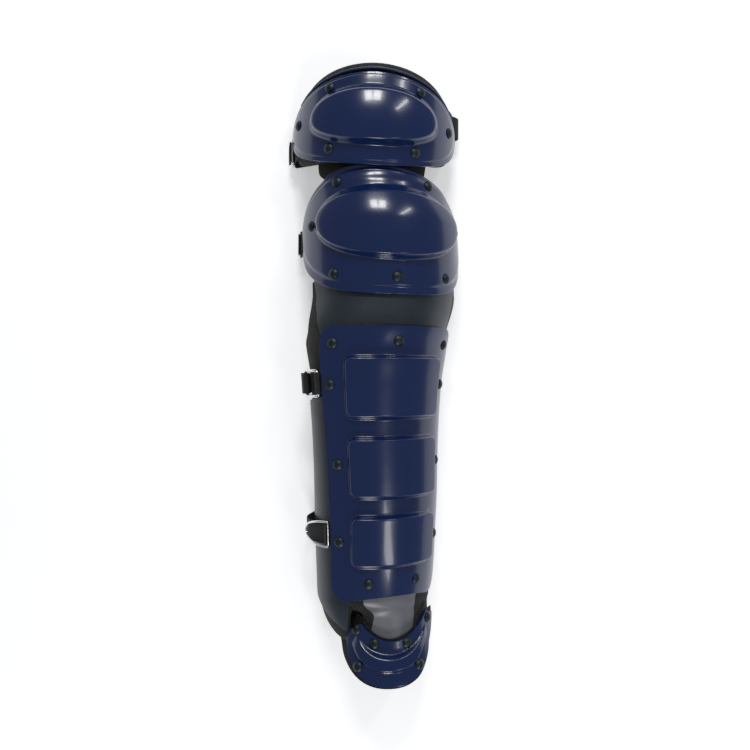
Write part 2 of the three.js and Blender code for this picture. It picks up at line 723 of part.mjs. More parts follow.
const tucked = (cap) => (turn, along, height) => {
  const tuck = cap.drop * ease(0.7 * cap.up, cap.up, along);
  return slanted(cap, turn, cap.y + along, height - tuck);
};
const bothSides = ([u, v]) => [[-u, v], [u, v]];
const RIVET_SETS = {
  thigh: {
    surface: tucked(THIGH_CAP),
    spots: [[31, 0.69 * THIGH_CAP.up], [61, 0.07 * THIGH_CAP.up], [29, -0.65 * THIGH_CAP.down]].flatMap(bothSides),
  },
  knee: {
    surface: tucked(KNEE_CAP),
    spots: [
      ...[[36, 0.71 * KNEE_CAP.up], [61, 0], [42, -0.72 * KNEE_CAP.down]].flatMap(bothSides),
      [2, -0.76 * KNEE_CAP.down],
    ],
  },
  shin: {
    surface: skin,
    spots: [
      [0, alongShin(0.053)],
      ...[
        [43.4, alongShin(0.061)],
        [46.6, alongShin(0.209)],
        [44.5, alongShin(0.498)],
        [45.6, alongShin(0.781)],
        [21.3, alongShin(0.931)],
      ].flatMap(bothSides),
    ],
  },
  instep: {
    surface: instepPoint,
    spots: [[0.36, 0.15], [0.55, 0.85], [0.9, 0.3]].flatMap(bothSides),
  },
};
const holes = {};
for (const [name, { surface, spots }] of Object.entries(RIVET_SETS)) {
  holes[name] = spots.map(([u, v]) => stationed(lathe(HOLE_PROFILE, RIVET_SIDES), surface, u, v));
}

const guard = new THREE.Group();
export default guard;

function add(name, geometry, colour, roughness, metalness = 0) {
  const material = new THREE.MeshStandardMaterial({ color: colour, roughness, metalness });
  const mesh = new THREE.Mesh(geometry, material);
  mesh.name = name;
  guard.add(mesh);
  return mesh;
}

const BLUE = "#1b2a63";
const SLATE = "#2b333d";
const KNIT = "#1d1f21";
const SATIN = "#80828c";
const CHROME = "#d8dade";
const GUNMETAL = "#3a3e42";

add("thigh_cap", cut(capShell(THIGH_CAP), holes.thigh), BLUE, 0.2);
add("knee_cap", cut(capShell(KNEE_CAP), holes.knee), BLUE, 0.2);
add("shin_shell", cut(shinShell(), holes.shin), BLUE, 0.2);
const instepShell = solidBetween(
  instepGrid(SHELL_HIGH, 0, INSTEP_RIMS, true),
  instepGrid(SHELL_LOW, 0, INSTEP_RIMS, true),
);
add("instep_cap", cut(instepShell, holes.instep), BLUE, 0.2);
add("base_sheet", solidBetween(sheetGrid(SHEET_HIGH, 0), sheetGrid(SHEET_LOW, 0)), SLATE, 0.45);
add("shin_pad", solidBetween(sheetGrid(PAD, PAD_MARGIN), sheetGrid(0, PAD_MARGIN)), KNIT, 0.95);
add("thigh_pad", roundPad(THIGH_CAP, 90, THIGH_CAP.up + 12, THIGH_CAP.down - 6, 0, SHEET_HIGH), KNIT, 0.95);
add("knee_pad", roundPad(KNEE_CAP, 88, KNEE_CAP.up - 9, KNEE_CAP.down - YOKE_TUCK - 6, 0, SHEET_HIGH), KNIT, 0.95);
add("thigh_piping", thighPiping(), BLUE, 0.5);
add("neck_link", solidBetween(linkGrid(-LINK_DEPTH), linkGrid(-LINK_DEPTH - SHEET)), KNIT, 0.95);
for (const strap of STRAPS) {
  const strapBand = webbing((width) => strapRoute(strap, width));
  const tabBand = webbing((width) => tabRoute(strap, width));
  add(`strap_${strap.name}`, strapBand, KNIT, 0.9);
  add(`tab_${strap.name}`, tabBand, KNIT, 0.9);
  add(`ring_${strap.name}`, ringGeometry(strap), CHROME, 0.15, 1);
}
const UNDER_START = SHIN_END - PAD_MARGIN - 2;
add("foot_pad", solidBetween(
  patchGrid(44, UNDER_START, FOOT_END + 4, PAD, 6, 8),
  patchGrid(44, UNDER_START, FOOT_END + 4, 0, 6, 8),
), KNIT, 0.95);
add("tongue", solidBetween(
  patchGrid(TONGUE_HALF, UNDER_START, FOOT_END + 26, SHEET_HIGH, 6, 6),
  patchGrid(TONGUE_HALF, UNDER_START, FOOT_END + 26, SHEET_LOW + 3 * GAP, 6, 6),
), SATIN, 0.4);
const binding = solidBetween(
  instepGrid(WEB_HIGH, BINDING, INSTEP_RIMS, false),
  instepGrid(WEB_LOW + GAP, BINDING, INSTEP_RIMS, false),
);
add("instep_binding", binding, KNIT, 0.95);
for (const [name, { surface, spots }] of Object.entries(RIVET_SETS)) {
  spots.forEach(([u, v], i) => {
    const rivet = stationed(lathe(RIVET_PROFILE, RIVET_SIDES), surface, u, v);
    add(`rivet_${name}_${i + 1}`, rivet, GUNMETAL, 0.4, 0.8);
  });
}

// The origin lies under the middle of the whole guard, on the floor
const whole = new THREE.Box3().setFromObject(guard);
const middle = whole.getCenter(new THREE.Vector3());
for (const mesh of guard.children) {
  mesh.geometry.translate(-middle.x, -middle.y, -whole.min.z);
}
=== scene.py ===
"""A catcher leg guard lying on its back: glossy shells, cloth padding, webbing and rivets."""
import functools
import math

import bmesh
import bpy
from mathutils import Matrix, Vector


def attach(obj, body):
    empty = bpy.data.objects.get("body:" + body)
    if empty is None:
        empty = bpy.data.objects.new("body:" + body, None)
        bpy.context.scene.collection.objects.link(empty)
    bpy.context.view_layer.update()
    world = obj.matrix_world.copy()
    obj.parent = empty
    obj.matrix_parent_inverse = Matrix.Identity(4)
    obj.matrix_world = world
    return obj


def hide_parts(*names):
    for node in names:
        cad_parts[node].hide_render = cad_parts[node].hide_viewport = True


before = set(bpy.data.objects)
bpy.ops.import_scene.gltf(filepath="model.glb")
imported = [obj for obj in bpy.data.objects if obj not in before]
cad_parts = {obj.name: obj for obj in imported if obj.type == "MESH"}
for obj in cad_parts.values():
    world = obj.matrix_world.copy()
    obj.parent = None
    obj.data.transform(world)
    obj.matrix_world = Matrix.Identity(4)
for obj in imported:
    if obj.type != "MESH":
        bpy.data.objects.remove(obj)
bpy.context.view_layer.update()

# Lengths below are in millimetres in the drawing's own place; put() moves them to the part's place
MM = 0.001
DRAWING_PLACE = Vector((1.9612, 2.3590, 0))

LEG_RADIUS = 66
THIGH_LENGTH = 82
KNEE_LENGTH = 117
SHIN_LENGTH = 247
FOOT_LENGTH = 74
SHIN_TOP = 43
SHIN_END = SHIN_TOP - SHIN_LENGTH
FOOT_END = SHIN_END - FOOT_LENGTH
KNEE_END = SHIN_TOP + 28
KNEE_TOP = KNEE_END + KNEE_LENGTH
THIGH_END = KNEE_TOP - 2
THIGH_TOP = THIGH_END + THIGH_LENGTH

GAP = 0.3
PAD = 7
SHEET = 2
WEBBING = 1.2
SHELL = 2.5
DOME_LIFT = 8
BOX_LIFT = 6
INSTEP_LIFT = 4
STRAP_WIDTH = 19
RING_WIRE = 2.8
RING_WIDTH = 25.7
CORNER = 14
SHEET_LOW = PAD + GAP
SHEET_HIGH = SHEET_LOW + SHEET
WEB_LOW = SHEET_HIGH + GAP
WEB_HIGH = WEB_LOW + WEBBING
SHELL_LOW = WEB_HIGH + 1.2
SHELL_HIGH = SHELL_LOW + SHELL


def along_thigh(share):
    return THIGH_TOP - share * THIGH_LENGTH


def along_knee(share):
    return KNEE_TOP - share * KNEE_LENGTH


def along_shin(share):
    return SHIN_TOP - share * SHIN_LENGTH


def along_foot(share):
    return SHIN_END - share * FOOT_LENGTH


# Sections of the skin inside the padding. Each row: place along the leg, the arc's centre across
# and up, its radius, its roll in degrees, then the left and the right foot, across and up.
# All but the place and the roll are shares of LEG_RADIUS
SECTIONS = [
    (along_thigh(-0.2), -0.02, 0.04, 0.93, 0, -0.97, 0.05, 0.97, 0.05),
    (along_thigh(0.1), -0.02, 0.04, 0.98, 0, -1.0, 0.05, 1.0, 0.05),
    (along_thigh(0.5), -0.02, 0.04, 1.01, 0, -1.02, 0.05, 1.02, 0.05),
    (along_thigh(0.95), -0.02, 0.04, 0.97, 0, -0.98, 0.05, 0.98, 0.05),
    (along_knee(0.1), 0.02, 0.12, 0.85, 5, -0.9, 0.05, 0.9, 0.05),
    (along_knee(0.45), 0.06, 0.16, 0.94, 8, -0.96, 0.05, 0.95, 0.05),
    (along_knee(0.95), 0.08, 0.18, 0.95, 9, -0.98, 0.25, 1.0, 0.05),
    (along_shin(0), -0.06, 0.17, 0.99, 18, -0.87, 0.4, 1.02, 0.05),
    (along_shin(0.08), -0.13, 0.15, 0.98, 22, -0.75, 0.1, 0.95, 0.05),
    (along_shin(0.2), -0.15, 0.15, 0.93, 23, -0.62, 0.05, 0.93, 0.05),
    (along_shin(0.4), -0.13, 0.15, 0.86, 23, -0.62, 0.05, 0.86, 0.05),
    (along_shin(0.7), -0.1, 0.15, 0.8, 23, -0.65, 0.05, 0.8, 0.05),
    (along_shin(1), -0.1, 0.15, 0.73, 22, -0.62, 0.05, 0.72, 0.05),
    (along_foot(0.24), 0.12, 0.27, 0.51, 14, -0.64, 0.12, 0.6, 0.12),
    (along_foot(0.58), 0.144, 0.27, 0.53, 5, -0.62, 0.2, 0.6, 0.2),
    (along_foot(0.78), 0.15, 0.3, 0.57, 3, -0.62, 0.25, 0.62, 0.25),
    (along_foot(1.03), 0.16, 0.33, 0.61, 2, -0.64, 0.3, 0.64, 0.3),
    (along_foot(1.3), 0.16, 0.34, 0.62, 2, -0.64, 0.3, 0.64, 0.3),
]
HINGE_TURN = 55
FOOT_TURN = 92
FOOT_HANDLE = 0.34


def lerp(a, b, share):
    return a + (b - a) * share


def clamp(value, low, high):
    return max(low, min(high, value))


def ease(start, end, value):
    share = clamp((value - start) / (end - start), 0, 1)
    return share * share * (3 - 2 * share)


def turn_of(length):
    return math.degrees(length / LEG_RADIUS)


def steps(count, start=0.0, end=1.0):
    return [lerp(start, end, i / count) for i in range(count + 1)]


@functools.lru_cache(maxsize=None)
def section_at(place):
    """The row of SECTIONS at a place, on a smooth curve through the rows"""
    last = len(SECTIONS) - 1
    k = 0
    while k < last - 1 and place < SECTIONS[k + 1][0]:
        k += 1

    def span(i):
        return SECTIONS[i + 1][0] - SECTIONS[i][0]

    def slope(i, c):
        return (SECTIONS[i + 1][c] - SECTIONS[i][c]) / span(i)

    def tangent(i, c):
        if i in (0, last):
            return slope(min(i, last - 1), c)
        before, after = slope(i - 1, c), slope(i, c)
        return 0 if before * after <= 0 else 2 * before * after / (before + after)

    t = clamp((place - SECTIONS[k][0]) / span(k), 0, 1)
    row = [place]
    for c in range(1, 9):
        straight = lerp(SECTIONS[k][c], SECTIONS[k + 1][c], t * t * (3 - 2 * t))
        bend = span(k) * t * (1 - t) * ((1 - t) * tangent(k, c) - t * tangent(k + 1, c))
        row.append(straight + bend)
    return row


def skin(turn, place, height):
    """A point at a height over the skin, a turn round from its crest in degrees"""
    row = section_at(round(place, 3))
    x, z, radius = (share * LEG_RADIUS for share in row[1:4])
    side = -1 if turn < 0 else 1
    angle = math.radians(min(abs(turn), HINGE_TURN) * side + row[4])
    out_x, out_z = math.sin(angle), math.cos(angle)
    start = (x + out_x * radius, z + out_z * radius)
    if abs(turn) <= HINGE_TURN:
        return Vector((start[0] + out_x * height, place, start[1] + out_z * height))
    at = 5 if side < 0 else 7
    foot = (x + LEG_RADIUS * row[at], LEG_RADIUS * row[at + 1])
    whole = math.dist(start, foot)
    handle = FOOT_HANDLE * whole
    near = (start[0] + out_z * handle * side, start[1] - out_x * handle * side)
    far = (foot[0], foot[1] + handle)
    t = (abs(turn) - HINGE_TURN) / (FOOT_TURN - HINGE_TURN)
    s = min(t, 1)
    mix = ((1 - s) ** 3, 3 * s * (1 - s) ** 2, 3 * s * s * (1 - s), s ** 3)
    point = [sum(m * p[i] for m, p in zip(mix, (start, near, far, foot))) for i in (0, 1)]
    drift = [
        3 * (1 - s) ** 2 * (near[i] - start[i])
        + 6 * s * (1 - s) * (far[i] - near[i])
        + 3 * s * s * (foot[i] - far[i])
        for i in (0, 1)
    ]
    size = math.hypot(*drift)
    drift = [d / size for d in drift]
    if t > 1:
        point = [p + d * (t - 1) * whole for p, d in zip(point, drift)]
    return Vector((point[0] - drift[1] * side * height, place, point[1] + drift[0] * side * height))


def slanted(shape, turn, place, height):
    """A point over the skin, moved by how a cap is skewed and leans"""
    point = skin(turn, place, height)
    shifted = place + shape["skew"] * (point.x - shape["x"])
    moved = skin(turn, shifted, height)
    moved.x += shape["lean"] * (shifted - shape["y"])
    return moved


# Meshes

MERGE_WITHIN = 0.02
SHARP_FROM = 50


def put(name, points, faces, material, slot, nodes=()):
    """Makes a piece with its outward faces and material, on the root body, and hides the CAD nodes
    it stands for
    """
    mesh = bpy.data.meshes.new(name)
    mesh.from_pydata([(p + DRAWING_PLACE) * MM for p in points], [], faces)
    bm = bmesh.new()
    bm.from_mesh(mesh)
    bmesh.ops.remove_doubles(bm, verts=bm.verts, dist=MERGE_WITHIN * MM)
    bmesh.ops.recalc_face_normals(bm, faces=bm.faces)
    if bm.calc_volume(signed=True) < 0:
        bmesh.ops.reverse_faces(bm, faces=bm.faces)
    bm.to_mesh(mesh)
    bm.free()
    for polygon in mesh.polygons:
        polygon.use_smooth = True
    piece = bpy.data.objects.new(name, mesh)
    bpy.context.collection.objects.link(piece)
    mesh.materials.append(material)
    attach(piece, "root")
    if nodes:
        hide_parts(*nodes)
    return piece


def soften(piece, width=0.6, segments=3):
    """Rounds the sharp edges of a piece"""
    bevel = piece.modifiers.new("round_edges", "BEVEL")
    bevel.width = width * MM
    bevel.segments = segments
    bevel.limit_method = "ANGLE"
    bevel.angle_limit = math.radians(SHARP_FROM)
    bevel.harden_normals = False
    return piece


def sheet_faces(rows, columns, loop=False, start=0):
    """Quads between the rows of a grid, closed round where it loops"""
    faces = []
    for i in range(rows - 1):
        for j in range(columns if loop else columns - 1):
            k = (j + 1) % columns
            faces.append([start + i * columns + j, start + i * columns + k,
                          start + (i + 1) * columns + k, start + (i + 1) * columns + j])
    return faces


def between(outer, inner, loop=False):
    """Points and faces of the closed body between two grids"""
    rows, columns = len(outer), len(outer[0])
    half = rows * columns
    points = [p for row in outer for p in row] + [p for row in inner for p in row]
    faces = sheet_faces(rows, columns, loop)
    faces += [list(reversed(face)) for face in sheet_faces(rows, columns, loop, half)]
    first, last = list(range(columns)), [(rows - 1) * columns + j for j in range(columns)]
    if loop:
        rims = [last, first]
    else:
        right = [i * columns + columns - 1 for i in range(1, rows - 1)]
        left = [i * columns for i in range(rows - 2, 0, -1)]
        rims = [first + right + last[::-1] + left]
    for rim in rims:
        for a, b in zip(rim, rim[1:] + rim[:1]):
            faces.append([a, b, b + half, a + half])
    return points, faces


def along(rings, closed=False):
    """Points and faces of a tube through rings of points"""
    count, sides = len(rings), len(rings[0])
    faces = []
    for i in range(count if closed else count - 1):
        for j in range(sides):
            k = (j + 1) % sides
            n = (i + 1) % count
            faces.append([i * sides + j, i * sides + k, n * sides + k, n * sides + j])
    if not closed:
        faces.append(list(range(sides)))
        faces.append([(count - 1) * sides + j for j in range(sides)])
    return [p for ring in rings for p in ring], faces


# Materials

def ramp_between(nodes, low, high, colours):
    """A colour ramp between two positions"""
    ramp = nodes.new("ShaderNodeValToRGB")
    ramp.color_ramp.elements[0].position = low
    ramp.color_ramp.elements[1].position = high
    for element, colour in zip(ramp.color_ramp.elements, colours):
        element.color = (*colour, 1)
    return ramp


def maths(nodes, links, operation, first, second=None):
    """The result of a calculation on numbers or sockets"""
    node = nodes.new("ShaderNodeMath")
    node.operation = operation
    for socket, value in zip(node.inputs, (first, second)):
        if value is None:
            continue
        if isinstance(value, (int, float)):
            socket.default_value = value
        else:
            links.new(value, socket)
    return node.outputs[0]


def cloudy(nodes, links, place, scale, detail):
    """The value of a noise texture over a place"""
    noise = nodes.new("ShaderNodeTexNoise")
    noise.inputs["Scale"].default_value = scale
    noise.inputs["Detail"].default_value = detail
    links.new(place, noise.inputs["Vector"])
    return noise.outputs["Fac"]


def effect(name, inputs, outputs):
    """A node group, with the sockets that its nodes read and write"""
    group = bpy.data.node_groups.new(name, "ShaderNodeTree")
    for label, kind, value in inputs:
        socket = group.interface.new_socket(label, in_out="INPUT", socket_type=kind)
        if value is not None:
            socket.default_value = value
    for label, kind in outputs:
        group.interface.new_socket(label, in_out="OUTPUT", socket_type=kind)
    entry = group.nodes.new("NodeGroupInput")
    leave = group.nodes.new("NodeGroupOutput")
    return group, entry.outputs, leave.inputs


def make_cloth_weave():
    """Ribs of knit or webbing in the object's own space, with a fleck of paler thread"""
    group, given, gives = effect(
        "cloth_weave",
        [("Place", "NodeSocketVector", None), ("Rib", "NodeSocketFloat", 1.0),
         ("Cross", "NodeSocketFloat", 1.0)],
        [("Height", "NodeSocketFloat"), ("Fleck", "NodeSocketFloat")],
    )
    nodes, links = group.nodes, group.links
    split = nodes.new("ShaderNodeSeparateXYZ")
    links.new(given["Place"], split.inputs[0])
    loose = maths(nodes, links, "MULTIPLY", cloudy(nodes, links, given["Place"], 260, 2), 1.6)
    across = maths(nodes, links, "ADD", split.outputs[0], split.outputs[2])
    rib = maths(nodes, links, "MULTIPLY", across, given["Rib"])
    rib = maths(nodes, links, "SINE", maths(nodes, links, "ADD", rib, loose))
    cross = maths(nodes, links, "MULTIPLY", split.outputs[1], given["Cross"])
    cross = maths(nodes, links, "SINE", maths(nodes, links, "ADD", cross, loose))
    height = maths(nodes, links, "MULTIPLY", rib, cross)
    height = maths(nodes, links, "MULTIPLY", maths(nodes, links, "ADD", height, 1), 0.5)
    links.new(height, gives["Height"])
    pale = ramp_between(nodes, 0.56, 0.72, ((0, 0, 0), (1, 1, 1)))
    links.new(cloudy(nodes, links, given["Place"], 950, 1), pale.inputs[0])
    links.new(pale.outputs[0], gives["Fleck"])
    return group


def make_skin_grain():
    """Fine pebbled grain of coated cloth, with a broad soft unevenness"""
    group, given, gives = effect(
        "skin_grain",
        [("Place", "NodeSocketVector", None), ("Scale", "NodeSocketFloat", 900.0)],
        [("Height", "NodeSocketFloat"), ("Cloud", "NodeSocketFloat")],
    )
    nodes, links = group.nodes, group.links
    cells = nodes.new("ShaderNodeTexVoronoi")
    cells.feature = "SMOOTH_F1"
    links.new(given["Place"], cells.inputs["Vector"])
    links.new(given["Scale"], cells.inputs["Scale"])
    links.new(cells.outputs["Distance"], gives["Height"])
    links.new(cloudy(nodes, links, given["Place"], 28, 4), gives["Cloud"])
    return group


def make_handling():
    """Faint rubs and hair scratches of a used moulding"""
    group, given, gives = effect(
        "handling",
        [("Place", "NodeSocketVector", None), ("Amount", "NodeSocketFloat", 1.0)],
        [("Rub", "NodeSocketFloat"), ("Wave", "NodeSocketFloat")],
    )
    nodes, links = group.nodes, group.links
    stretch = nodes.new("ShaderNodeMapping")
    stretch.inputs["Scale"].default_value = (900, 60, 500)
    stretch.inputs["Rotation"].default_value = (0.2, 0.3, 0.5)
    links.new(given["Place"], stretch.inputs["Vector"])
    hair = ramp_between(nodes, 0.62, 0.74, ((0, 0, 0), (1, 1, 1)))
    links.new(cloudy(nodes, links, stretch.outputs[0], 1, 3), hair.inputs[0])
    patch = cloudy(nodes, links, given["Place"], 22, 5)
    mixed = maths(nodes, links, "MULTIPLY", hair.outputs[0], patch)
    mixed = maths(nodes, links, "ADD", mixed, maths(nodes, links, "MULTIPLY", patch, 0.5))
    links.new(maths(nodes, links, "MULTIPLY", mixed, given["Amount"]), gives["Rub"])
    links.new(cloudy(nodes, links, given["Place"], 55, 1), gives["Wave"])
    return group


CLOTH_WEAVE = make_cloth_weave()
SKIN_GRAIN = make_skin_grain()
HANDLING = make_handling()


def material(name, roughness, **plain):
    made = bpy.data.materials.new(name)
    made.use_nodes = True
    nodes, links = made.node_tree.nodes, made.node_tree.links
    shader = nodes["Principled BSDF"]
    shader.inputs["Roughness"].default_value = roughness
    for label, value in plain.items():
        shader.inputs[label.replace("_", " ")].default_value = value
    place = nodes.new("ShaderNodeTexCoord").outputs["Object"]
    return made, nodes, links, shader, place


def placed(nodes, links, group, place, **values):
    """An effect in a material, at the object's own place"""
    node = nodes.new("ShaderNodeGroup")
    node.node_tree = group
    links.new(place, node.inputs["Place"])
    for label, value in values.items():
        node.inputs[label].default_value = value
    return node.outputs


def bumped(nodes, links, shader, height, distance, strength=1.0):
    bump = nodes.new("ShaderNodeBump")
    bump.inputs["Distance"].default_value = distance * MM
    bump.inputs["Strength"].default_value = strength
    links.new(height, bump.inputs["Height"])
    links.new(bump.outputs[0], shader.inputs["Normal"])


def tinted(nodes, links, shader, mask, low, high, first, second):
    ramp = ramp_between(nodes, low, high, (first, second))
    links.new(mask, ramp.inputs[0])
    links.new(ramp.outputs[0], shader.inputs["Base Color"])


def roughened(nodes, links, shader, mask, low, high):
    reach = nodes.new("ShaderNodeMapRange")
    reach.inputs["To Min"].default_value = low
    reach.inputs["To Max"].default_value = high
    links.new(mask, reach.inputs["Value"])
    links.new(reach.outputs[0], shader.inputs["Roughness"])


def gloss_shell():
    made, nodes, links, shader, place = material("gloss_shell", 0.2,
                                                 Coat_Weight=0.25, Coat_Roughness=0.06)
    used = placed(nodes, links, HANDLING, place, Amount=0.25)
    tinted(nodes, links, shader, used["Rub"], 0.05, 0.9,
           (0.0018, 0.013, 0.072), (0.004, 0.02, 0.095))
    roughened(nodes, links, shader, used["Rub"], 0.2, 0.5)
    bumped(nodes, links, shader, used["Wave"], 0.25, 0.3)
    return made


def coated_cloth(name, first, second, roughness, grain):
    made, nodes, links, shader, place = material(name, roughness)
    used = placed(nodes, links, SKIN_GRAIN, place, Scale=grain)
    tinted(nodes, links, shader, used["Cloud"], 0.3, 0.75, first, second)
    roughened(nodes, links, shader, used["Cloud"], roughness - 0.06, roughness + 0.1)
    bumped(nodes, links, shader, used["Height"], 0.12, 0.6)
    return made


def woven(name, first, second, rib, cross, depth, roughness=0.9):
    made, nodes, links, shader, place = material(name, roughness,
                                                 Sheen_Weight=0.04, Sheen_Roughness=0.4)
    used = placed(nodes, links, CLOTH_WEAVE, place, Rib=rib, Cross=cross)
    tinted(nodes, links, shader, used["Fleck"], 0.0, 1.0, first, second)
    bumped(nodes, links, shader, used["Height"], depth, 0.9)
    return made


def metal(name, first, second, roughness):
    made, nodes, links, shader, place = material(name, roughness, Metallic=1.0)
    used = placed(nodes, links, HANDLING, place, Amount=0.8)
    tinted(nodes, links, shader, used["Rub"], 0.1, 0.9, first, second)
    roughened(nodes, links, shader, used["Rub"], roughness, roughness + 0.2)
    return made


GLOSS = gloss_shell()
SLATE = coated_cloth("slate_sheet", (0.01, 0.018, 0.027), (0.016, 0.026, 0.037), 0.4, 1100)
SATIN = coated_cloth("satin_tongue", (0.11, 0.112, 0.13), (0.165, 0.168, 0.19), 0.36, 1500)
PIPE = coated_cloth("blue_piping", (0.004, 0.013, 0.06), (0.008, 0.02, 0.085), 0.4, 1200)
KNIT = woven("black_knit", (0.004, 0.004, 0.0045), (0.045, 0.046, 0.038), 3600, 3600, 0.3)
WEB = woven("black_webbing", (0.003, 0.003, 0.0035), (0.012, 0.012, 0.013), 2400, 4200, 0.25, 0.75)
CHROME = metal("bright_ring", (0.72, 0.73, 0.75), (0.55, 0.56, 0.58), 0.08)
RIVET = metal("dark_rivet", (0.035, 0.045, 0.05), (0.07, 0.075, 0.08), 0.42)


# Thigh and knee caps

THIGH_CAP = {
    "x": 0, "y": (THIGH_TOP + THIGH_END) / 2, "up": THIGH_LENGTH / 2, "down": THIGH_LENGTH / 2,
    "half": 80, "lean": 0.05, "skew": -0.05, "power": 1.7, "power_low": 1.95, "drop": 0,
    "dome": (0.48, 0.5, 0.5), "step": 0.8,
}
KNEE_CAP = {
    "x": 6, "y": along_knee(0.45), "up": 0.45 * KNEE_LENGTH, "down": 0.55 * KNEE_LENGTH,
    "half": 80, "lean": 0, "skew": -0.022, "power": 2.05, "power_low": 2.7, "drop": 4,
    "dome": (0.62, 0.47, 0.46), "step": 1.5,
}
PLAIN = {"x": 0, "y": 0, "lean": 0, "skew": 0}
DOME_POWER = 2.2
DOME_MIDDLE = 1.15
DOME_EDGE = 0.95
DOME_SLOPE = 5.5
DOME_SOFTER = 0.7
SOFT_FROM, SOFT_TO = -0.75, -0.1
STEP_FROM, STEP_TO = 0.72, 0.8
TUCK_FROM = 0.7


def round_point(half, up, down, power, angle):
    """Across and up, on a rounded rectangle with its own reach up and down"""
    c, s = math.cos(angle), math.sin(angle)
    reach = (abs(c) ** power + abs(s) ** power) ** (-1 / power)
    return half * reach * c, (up if s > 0 else down) * reach * s


def rim_tuck(cap, rise):
    """How far a cap's upper end dips under the piece above it"""
    return cap["drop"] * ease(TUCK_FROM * cap["up"], cap["up"], rise)


def cap_point(cap, inside, wall, outside, lift, angle, height):
    """A point of a cap: shares of the way over the dome, down its wall and out to the rim"""
    half, up, down = cap["dome"]
    softer = DOME_SOFTER * ease(SOFT_FROM, SOFT_TO, math.sin(angle))
    slope = DOME_SLOPE * wall * (1 + softer)
    dome = round_point(
        inside * half * cap["half"] + turn_of(slope),
        inside * up * cap["up"] + slope,
        inside * down * cap["down"] + slope,
        DOME_POWER, angle,
    )
    power = cap["power"] if math.sin(angle) > 0 else cap["power_low"]
    rim = round_point(cap["half"], cap["up"], cap["down"], power, angle)
    turn, rise = (lerp(dome[i], rim[i], outside) for i in (0, 1))
    return slanted(cap, turn, cap["y"] + rise, height + lift - rim_tuck(cap, rise))


def cap_shell(name, cap, sectors=144):
    rows = [(s, 0, 0, DOME_LIFT * lerp(DOME_MIDDLE, DOME_EDGE, s * s)) for s in steps(18)]
    rows += [(1, w, 0, DOME_LIFT * DOME_EDGE * (1 - ease(0, 1, w))) for w in steps(10)[1:]]
    rows += [(1, 1, o, -cap["step"] * ease(STEP_FROM, STEP_TO, o)) for o in steps(26)[1:]]

    def grid(height):
        return [
            [cap_point(cap, *row, 2 * math.pi * j / sectors, height) for j in range(sectors)]
            for row in rows
        ]
    points, faces = between(grid(SHELL_HIGH), grid(SHELL_LOW), loop=True)
    soften(put(name, points, faces, GLOSS, "shell_gloss", [name]))


# Shin shell

SHIN_HALF = 53
BOX_SHARE = 0.66
BOX_WALL = 4
BOX_CORNER = 7
BOX_RADIUS = LEG_RADIUS + 12
BOXES = [(0.109, 0.328), (0.4, 0.615), (0.684, 0.866)]
ARCH = 5
ARCH_TURN = 38
ARCH_REACH = 30


def graded(start, end, stops, coarse, fine, reach):
    """Values from start to end, in fine steps within reach of a stop and coarse ones elsewhere"""
    values = [start]
    while values[-1] < end:
        near = min(abs(values[-1] - stop) for stop in stops)
        values.append(values[-1] + (fine if near < reach else coarse))
    values[-1] = end
    return values


def box_lift(turn, place):
    """How far the shin shell is raised: rounded boxes with sloping walls"""
    lift = 0
    across = math.radians(abs(turn) - BOX_SHARE * SHIN_HALF) * BOX_RADIUS
    for start, end in BOXES:
        top, low = along_shin(start), along_shin(end)
        up = abs(place - (top + low) / 2) - (top - low) / 2
        beyond = (across + BOX_CORNER, up + BOX_CORNER)
        apart = math.hypot(max(beyond[0], 0), max(beyond[1], 0)) + min(max(beyond), 0) - BOX_CORNER
        lift = max(lift, 1 - ease(-BOX_WALL / 2, BOX_WALL / 2, apart))
    return BOX_LIFT * lift


def shin_point(share, place, height):
    """A point of the shin shell, its corners rounded and its lower edge arched"""
    depth = max(CORNER - min(SHIN_TOP - place, place - SHIN_END), 0)
    inset = CORNER - math.sqrt(max(CORNER ** 2 - depth ** 2, 0))
    edge = SHIN_HALF - turn_of(inset)
    beyond = clamp((abs(share) - BOX_SHARE) / (1 - BOX_SHARE), 0, 1)
    side = -1 if share < 0 else 1
    turn = side * lerp(BOX_SHARE * SHIN_HALF, edge, beyond) if beyond else share * SHIN_HALF
    arched = max(1 - (turn / ARCH_TURN) ** 2, 0) * ease(ARCH_REACH, 0, place - SHIN_END)
    return skin(turn, place + ARCH * arched, height + box_lift(turn, place))


def shin_shell():
    columns = graded(-1, 1, [-BOX_SHARE, BOX_SHARE, -1, 1], coarse=0.035, fine=0.011, reach=0.09)
    stops = [along_shin(s) for box in BOXES for s in box] + [SHIN_END, SHIN_TOP]
    places = graded(SHIN_END, SHIN_TOP, stops, coarse=2.6, fine=0.8, reach=9)
    grids = [[[shin_point(share, place, height) for share in columns] for place in places]
             for height in (SHELL_HIGH, SHELL_LOW)]
    points, faces = between(*grids)
    soften(put("shin_shell", points, faces, GLOSS, "shell_gloss", ["shin_shell"]))


# Instep cap

# The inner edge: its turn at the ears, its drop below the shin shell, its rise toward the ears
# and the rise's power. The outer edge: its turn, rise and power
INSTEP_INNER = (50, 37, 19, 1.7)
INSTEP_OUTER = (66, 38, 2.3)
INSTEP_BAND = (0.28, 0.38, 0.6, 0.7)
EAR_START = 0.82
EAR_ROUND = 0.8
RIGHT_EAR_FROM, RIGHT_EAR_RISE = 0.45, 7
INSET_LEFT = 0.15
INSET_RIGHT = 0.09
BINDING_SIDE = 1.3
BINDING_INNER, BINDING_EAR = 0.4, 2
BINDING_MIDDLE, BINDING_LEFT, BINDING_RIGHT = 2.6, 5.4, 4.6
BINDING_POWER = 1.5


